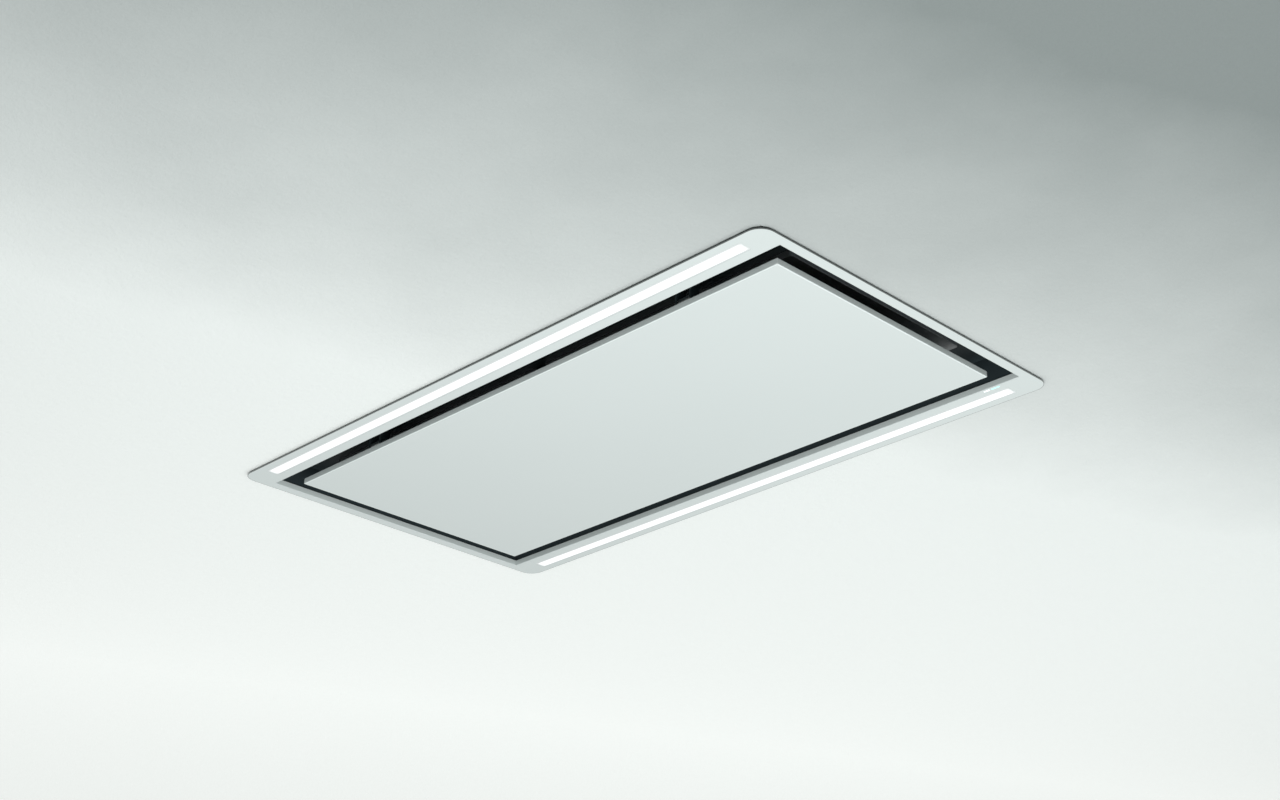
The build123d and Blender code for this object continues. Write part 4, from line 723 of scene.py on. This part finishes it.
class HOOD_OT_filters(bpy.types.Operator):
    """Grease filters: pressed frames, layers of expanded metal and their latches"""

    bl_idname = "hood.filters"
    bl_label = "Grease filters"

    border = 1.0 * MM
    pitch_change = 0.15
    notch_side = 5.0 * MM
    notch_depth = 15.0 * MM

    def expanded_mesh(self, side, tree, sizes):
        """Layers of expanded metal within one filter, with the notch round the latch carrier left open."""
        low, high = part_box(f"filter_mesh_{side}")
        centre = (low + high) / 2
        layers = bmesh.new()
        for layer in range(sizes.mesh_layers):
            share = (layer + 0.5) / sizes.mesh_layers
            made = grown(
                f"mesh_layer_{side}_{layer}", tree, point_mesh(f"mesh_seed_{side}_{layer}", []),
                Length=high.x - low.x - 2 * self.border, Width=high.y - low.y - 2 * self.border,
                Pitch=sizes.strand_pitch * (1.0 + self.pitch_change * (layer % 2)),
                Strand=sizes.strand_width, Level=low.z + share * (high.z - low.z),
            )
            made.transform(Matrix.Translation((centre.x, centre.y, 0.0)))
            layers.from_mesh(made)
        latch_low, latch_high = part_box(f"filter_latch_{side}")
        notch_low, notch_high = latch_low.x - self.notch_side, latch_high.x + self.notch_side
        notch_start = latch_low.y - self.notch_depth
        in_notch = []
        for face in layers.faces:
            middle = face.calc_center_median()
            if notch_low < middle.x < notch_high and middle.y > notch_start:
                in_notch.append(face)
        bmesh.ops.delete(layers, geom=in_notch, context="FACES")
        for face in layers.faces:
            face.smooth = True
        mesh = bpy.data.meshes.new(f"expanded_mesh_{side}")
        layers.to_mesh(mesh)
        layers.free()
        return mesh

    def execute(self, context):
        sizes = context.scene.hood_sizes
        sheet = finish(
            "filter_frame_aluminium", (0.66, 0.67, 0.68), "brushed", scale=700.0, cloud=8.0, depth=0.008,
            shade=0.85, rough=(0.28, 0.42), metallic=1.0,
        )
        strand = finish(
            "expanded_aluminium", (0.70, 0.71, 0.72), "brushed", scale=900.0, cloud=30.0, depth=0.004, shade=0.8,
            rough=(0.30, 0.45), metallic=1.0,
        )
        latch = finish(
            "latch_plastic", tuple(context.scene.hood_colours.moulding), "grain", scale=1600.0, cloud=10.0,
            depth=0.02, shade=0.8, rough=(0.42, 0.55),
        )
        dress(("filter_frame_left", "filter_frame_right"), sheet, PRESSED_ROUND)
        dress(("filter_latch_left", "filter_latch_right"), latch, sizes.mould_round, segments=3)
        tree = diamond_tree("Expanded metal", strand)
        for side in ("left", "right"):
            mesh = self.expanded_mesh(side, tree, sizes)
            piece(f"expanded_mesh_{side}", mesh, strand, "casing", (f"filter_mesh_{side}",))
        return {"FINISHED"}


class HOOD_OT_lights(bpy.types.Operator):
    """Light strips, their channels and boards, and the two signal lights"""

    bl_idname = "hood.lights"
    bl_label = "Lights"

    end_inset = 1.5 * MM

    def execute(self, context):
        sizes, light = context.scene.hood_sizes, tuple(context.scene.hood_colours.light)
        low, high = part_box("led_diffuser_front")
        lit = dict(Line=(low.y + high.y) / 2, Half_width=sizes.strip_width / 2, Half_length=high.x - self.end_inset)
        opal = finish(
            "opal_diffuser", (0.66, 0.70, 0.70), "peel", scale=1200.0, cloud=5.0, depth=0.004, shade=0.99,
            rough=(0.45, 0.5), marks=0.03, marked=0.98, glow=(light, sizes.strip_glow), fade=lit,
        )
        window = dict(
            pattern="peel", scale=1500.0, cloud=20.0, depth=0.003, shade=0.98, rough=(0.2, 0.25), marks=0.02
        )
        status = finish("status_window", (0.90, 0.95, 0.95), glow=((0.90, 0.98, 0.97), 1.0), **window)
        display = finish("display_window", (0.30, 0.62, 0.54), glow=((0.36, 0.88, 0.76), 1.2), **window)
        channel = finish(
            "channel_aluminium", (0.72, 0.73, 0.74), "brushed", scale=600.0, cloud=8.0, depth=0.006, shade=0.88,
            rough=(0.28, 0.4), metallic=1.0,
        )
        emitter_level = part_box("led_board_front")[1].z - BOARD_FACE
        emitters = finish(
            "emitter_board", (0.86, 0.87, 0.85), "brushed", scale=260.0, cloud=60.0, depth=0.02, shade=0.93,
            rough=(0.3, 0.4), specular=0.6,
            parts=(emitter_level, -1.0, 30.0, (0.90, 0.72, 0.10), (0.92, 0.78, 0.16)),
        )
        receiver_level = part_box("receiver_board")[0].z + BOARD_FACE
        receiver = finish(
            "receiver_solder_mask", (0.010, 0.085, 0.040), "brushed", scale=260.0, cloud=60.0, depth=0.03,
            shade=0.55, rough=(0.28, 0.4), specular=0.6,
            parts=(receiver_level, 1.0, 40.0, (0.015, 0.015, 0.016), (0.10, 0.10, 0.11)),
        )
        dress(("led_diffuser_front", "led_diffuser_back"), opal, STRIP_ROUND)
        dress(("status_lens",), status, LENS_ROUND)
        dress(("display_lens",), display, LENS_ROUND)
        dress(("led_profile_front", "led_profile_back"), channel, STRIP_ROUND)
        dress(("led_board_front", "led_board_back"), emitters, BOARD_ROUND)
        dress(("receiver_board",), receiver, BOARD_ROUND)
        return {"FINISHED"}


class HOOD_OT_blower(bpy.types.Operator):
    """Scroll, mouth ring, impeller and motor"""

    bl_idname = "hood.blower"
    bl_label = "Blower"

    def execute(self, context):
        black = finish(
            "scroll_plastic", tuple(context.scene.hood_colours.moulding), "grain", scale=1400.0, cloud=7.0,
            depth=0.03, shade=0.8, rough=(0.42, 0.58),
        )
        grey = finish(
            "impeller_plastic", (0.16, 0.165, 0.17), "grain", scale=1700.0, cloud=9.0, depth=0.015, shade=0.85,
            rough=(0.36, 0.5),
        )
        cast = finish(
            "cast_aluminium", (0.50, 0.51, 0.52), "grain", scale=600.0, cloud=14.0, depth=0.08, shade=0.82,
            rough=(0.42, 0.6), metallic=0.95,
        )
        rubber = finish(
            "mount_rubber", (0.016, 0.016, 0.016), "grain", scale=1000.0, cloud=20.0, depth=0.03, shade=0.8,
            rough=(0.7, 0.85), specular=0.3,
        )
        steel = bpy.data.materials["zinc_plated_steel"]
        dress(("scroll_shell", "scroll_base"), black, context.scene.hood_sizes.mould_round)
        dress(("inlet_ring", "impeller"), grey, THIN_ROUND)
        dress(("motor_housing",), cast, CAST_ROUND, segments=3)
        dress(("motor_bearings", "motor_shaft", "shaft_nut"), steel, THIN_ROUND)
        dress(("rubber_mounts",), rubber, CAST_ROUND, segments=3, angle=math.radians(60.0))
        return {"FINISHED"}


class HOOD_OT_outlet(bpy.types.Operator):
    """Outlet adapter with its spigot and the two damper leaves"""

    bl_idname = "hood.outlet"
    bl_label = "Outlet"

    def execute(self, context):
        black = bpy.data.materials["scroll_plastic"]
        leaf = bpy.data.materials["impeller_plastic"]
        steel = bpy.data.materials["zinc_plated_steel"]
        dress(("outlet_adapter",), black, context.scene.hood_sizes.mould_round, segments=3)
        dress(("damper_flap_front", "damper_flap_back"), leaf, THIN_ROUND)
        dress(("damper_pin",), steel, THIN_ROUND)
        return {"FINISHED"}


class HOOD_OT_electrics(bpy.types.Operator):
    """Control box and board, terminal block, light driver and cable gland"""

    bl_idname = "hood.electrics"
    bl_label = "Electrics"

    def execute(self, context):
        mould_round = context.scene.hood_sizes.mould_round
        box = finish(
            "control_box_plastic", (0.30, 0.31, 0.32), "grain", scale=1300.0, cloud=8.0, depth=0.03, shade=0.88,
            rough=(0.45, 0.6),
        )
        pale = finish(
            "terminal_plastic", (0.70, 0.71, 0.69), "grain", scale=1500.0, cloud=10.0, depth=0.015, shade=0.94,
            rough=(0.38, 0.5),
        )
        part_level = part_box("control_board")[0].z + BOARD_FACE
        board = finish(
            "solder_mask", (0.010, 0.085, 0.040), "brushed", scale=260.0, cloud=60.0, depth=0.03, shade=0.55,
            rough=(0.28, 0.4), specular=0.6,
            parts=(part_level, 1.0, 22.0, (0.020, 0.020, 0.022), (0.03, 0.10, 0.32)),
        )
        black = bpy.data.materials["scroll_plastic"]
        dress(("control_box",), box, mould_round, segments=3)
        dress(("control_board",), board, THIN_ROUND)
        dress(("terminal_block", "led_driver"), pale, mould_round, segments=3)
        dress(("cable_gland", "gland_nut"), black, mould_round, segments=3)
        return {"FINISHED"}


class HOOD_OT_fasteners(bpy.types.Operator):
    """Hexagon-head screws and bolts with flange, dished head and thread, and the casing's rivets"""

    bl_idname = "hood.fasteners"
    bl_label = "Screws and rivets"

    def screw_mesh(self, name, head, shank, length, rise):
        """Dished hexagon on a thin flange, with a ringed shank below."""

        def build(shape):
            flange = 0.28 * rise
            washer = ((shank, -0.1 * MM), (head * 0.98, 0.0), (head, flange * 0.6), (head * 0.86, flange))
            hexagon = (
                (head * 0.84, flange * 0.9), (head * 0.84, rise * 0.88), (head * 0.74, rise), (head * 0.5, rise),
                (head * 0.42, rise * 0.86),
            )
            turned(shape, washer, 24)
            turned(shape, hexagon, 6)
            root = shank * 0.82
            rings = max(int(length / THREAD_PITCH), 2)
            thread = []
            for ring in range(rings):
                z = -length + ring * length / rings
                thread += [(root, z), (shank, z + 0.5 * length / rings)]
            turned(shape, thread + [(root, 0.0)], 12)

        return mesh_from(name, build, 30.0)

    def rivet_mesh(self):
        """Domed head with the dimple of its drawn pin."""
        dome = (
            (2.4 * MM, -0.3 * MM), (2.4 * MM, 0.15 * MM), (2.0 * MM, 0.6 * MM), (1.1 * MM, 0.85 * MM),
            (0.9 * MM, 0.45 * MM),
        )
        return mesh_from("rivet_one", lambda shape: turned(shape, dome, 20))

    def rivet_places(self):
        """A row down each end of the two long walls, on their outer faces."""
        places = []
        for side, sign in (("front", 1.0), ("back", -1.0)):
            low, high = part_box(f"side_wall_{side}")
            face = high.y if sign > 0 else low.y
            for x in (low.x + RIVET_INSET, high.x - RIVET_INSET):
                for step in reversed(range(RIVETS_IN_ROW)):
                    z = high.z - RIVET_DROP - step * RIVET_PITCH
                    places.append((Vector((x, face, z)), Vector((0.0, sign, 0.0))))
        return places

    def execute(self, context):
        steel = bpy.data.materials["zinc_plated_steel"]
        screw = (context.scene.hood_sizes.screw_head, SCREW_SHANK, SCREW_RISE)
        bolt = (BOLT_HEAD, BOLT_SHANK, BOLT_RISE)
        for node, (head, shank, rise) in (
            ("casing_screws", screw), ("mounting_screws", screw), ("blower_bolts", bolt)
        ):
            places = fastener_places(node)
            length = places[0][2]
            mesh = self.screw_mesh(node + "_one", head, shank, length, rise)
            aimed = [(place, direction) for place, direction, _ in places]
            scattered(f"hex_{node}", aimed, mesh, steel, "casing", (node,))
        scattered("casing_rivets", self.rivet_places(), self.rivet_mesh(), steel, "casing")
        return {"FINISHED"}


class HOOD_OT_stage(bpy.types.Operator):
    """Ceiling with its cut-out, painted shade and a painted glow on its plaster, soft lamps and the camera"""

    bl_idname = "hood.stage"
    bl_label = "Stage"

    def plaster(self, colour):
        """Pale plaster with painted shade that darkens it towards the near corner and a painted glow that brightens
        the other side, on its underside only.
        """
        painted_shade_from, painted_shade_to = 0.05, 1.05
        painted_glow_from, painted_glow_to = 0.4, -1.4
        material = bpy.data.materials.new("plaster_with_painted_shade_and_glow")
        material.use_nodes = True
        graph = Graph(material.node_tree)
        links = material.node_tree.links
        shader = material.node_tree.nodes["Principled BSDF"].inputs
        place = graph.place()
        grain = graph.noise(place, 110.0, detail=7.0, roughness=0.7)
        apart = graph.apart(place)
        along_x, along_y = graph.math("MULTIPLY", apart[0], NEAR_X), graph.math("MULTIPLY", apart[1], NEAR_Y)
        near = graph.math("ADD", along_x, along_y)
        clouds = graph.noise(place, 1.3, detail=5.0, roughness=0.6)
        wander = graph.math("MULTIPLY", graph.math("SUBTRACT", clouds, 0.5), 0.5)
        underside = graph.spread(apart[2], 1.0 * MM, 8.0 * MM, 1.0, 0.0)
        # painted shade: the base colour darkens towards the near corner, with soft clouds through it, on the
        # underside only
        shade = graph.spread(graph.math("ADD", near, wander), painted_shade_from, painted_shade_to)
        painted_shade_colour = tuple(channel * factor for channel, factor in zip(colour, (0.31, 0.335, 0.335)))
        tint = graph.blend(graph.math("MULTIPLY", shade, underside), colour, painted_shade_colour)
        bump = graph.node("ShaderNodeBump", {"Height": grain, "Distance": 1.6 * MM, "Strength": 1.0})
        # painted glow: an emission that brightens the underside away from the near corner
        painted_glow = graph.math("MULTIPLY", graph.spread(near, painted_glow_from, painted_glow_to), underside)
        links.new(tint, shader["Base Color"])
        links.new(bump.outputs["Normal"], shader["Normal"])
        links.new(graph.blend(painted_glow, (0.0, 0.0, 0.0), (0.35, 0.345, 0.335)), shader["Emission Color"])
        shader["Emission Strength"].default_value = 1.0
        shader["Roughness"].default_value = 0.9
        return material

    def board(self, shape):
        """Plasterboard with the cut-out for the casing."""
        cut_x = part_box("side_wall_front")[1].x + CUTOUT_CLEARANCE
        cut_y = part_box("side_wall_front")[1].y + CUTOUT_CLEARANCE
        bottom, top = 0.0, PLASTER_THICKNESS
        rings = {}
        for z in (bottom, top):
            for name, x, y in (("inner", cut_x, cut_y), ("outer", PLASTER_REACH, PLASTER_REACH)):
                corners = ((-x, -y), (x, -y), (x, y), (-x, y))
                rings[name, z] = [shape.verts.new((*corner, z)) for corner in corners]
        for first, second in (
            (("inner", bottom), ("outer", bottom)), (("inner", top), ("outer", top)),
            (("inner", bottom), ("inner", top)), (("outer", bottom), ("outer", top)),
        ):
            for i in range(4):
                j = (i + 1) % 4
                shape.faces.new((rings[first][i], rings[first][j], rings[second][j], rings[second][i]))

    def lamp(self, scene, name, place, target, size, power):
        data = bpy.data.lights.new(name, "AREA")
        data.shape = "DISK"
        data.size = size
        data.energy = power
        made = bpy.data.objects.new(name, data)
        made.location = place
        made.rotation_euler = (Vector(target) - Vector(place)).to_track_quat("-Z", "Y").to_euler()
        scene.collection.objects.link(made)

    def camera(self, scene):
        data = bpy.data.cameras.new("photo_camera")
        data.sensor_width = 36.0
        data.lens = CAMERA_LENS
        made = bpy.data.objects.new("photo_camera", data)
        made.location = CAMERA_PLACE
        made.rotation_euler = tuple(math.radians(angle) for angle in CAMERA_TURN)
        scene.collection.objects.link(made)
        scene.camera = made

    def execute(self, context):
        scene = context.scene
        ceiling = bpy.data.objects.new("ceiling_board", mesh_from("ceiling_board", self.board))
        scene.collection.objects.link(ceiling)
        ceiling.data.materials.append(self.plaster(tuple(scene.hood_colours.ceiling)))

        scene.world = bpy.data.worlds.new("soft_room")
        scene.world.use_nodes = True
        background = scene.world.node_tree.nodes["Background"].inputs
        background["Color"].default_value = (0.93, 0.95, 0.94, 1.0)
        background["Strength"].default_value = 0.57
        self.lamp(scene, "room_light", (0.9, -0.75, -1.7), (0.1, -0.1, 0.0), size=1.0, power=17.0)
        self.lamp(scene, "window_light", (0.8, 1.5, -1.6), (0.0, 0.1, 0.0), size=1.0, power=7.0)
        self.lamp(scene, "loft_light", (-1.8, -2.2, 3.2), (0.0, 0.0, 0.1), size=6.0, power=85.0)
        self.lamp(scene, "loft_fill", (2.6, 1.8, 2.6), (0.0, 0.0, 0.1), size=6.0, power=45.0)
        self.camera(scene)
        scene.view_settings.view_transform = "Standard"
        return {"FINISHED"}


OPERATORS = (
    HOOD_OT_painted_parts,
    HOOD_OT_casing,
    HOOD_OT_recess,
    HOOD_OT_filters,
    HOOD_OT_lights,
    HOOD_OT_blower,
    HOOD_OT_outlet,
    HOOD_OT_electrics,
    HOOD_OT_fasteners,
    HOOD_OT_stage,
)


class HOOD_PT_panel(bpy.types.Panel):
    """Lists the hood's operators, sizes and colours"""

    bl_label = "Ceiling range hood"
    bl_idname = "HOOD_PT_panel"
    bl_space_type = "VIEW_3D"
    bl_region_type = "UI"
    bl_category = "Hood"

    def draw(self, context):
        for operator in OPERATORS:
            self.layout.operator(operator.bl_idname)
        for group in (context.scene.hood_sizes, context.scene.hood_colours):
            for name in group.__annotations__:
                self.layout.prop(group, name)


CLASSES = (HoodSizes, HoodColours, *OPERATORS, HOOD_PT_panel)


def register():
    for cls in CLASSES:
        bpy.utils.register_class(cls)
    bpy.types.Scene.hood_sizes = PointerProperty(type=HoodSizes)
    bpy.types.Scene.hood_colours = PointerProperty(type=HoodColours)


def unregister():
    del bpy.types.Scene.hood_colours
    del bpy.types.Scene.hood_sizes
    for cls in reversed(CLASSES):
        bpy.utils.unregister_class(cls)


def main():
    register()
    for operator in OPERATORS:
        group, name = operator.bl_idname.split(".")
        getattr(getattr(bpy.ops, group), name)()


if __name__ == "__main__":
    main()
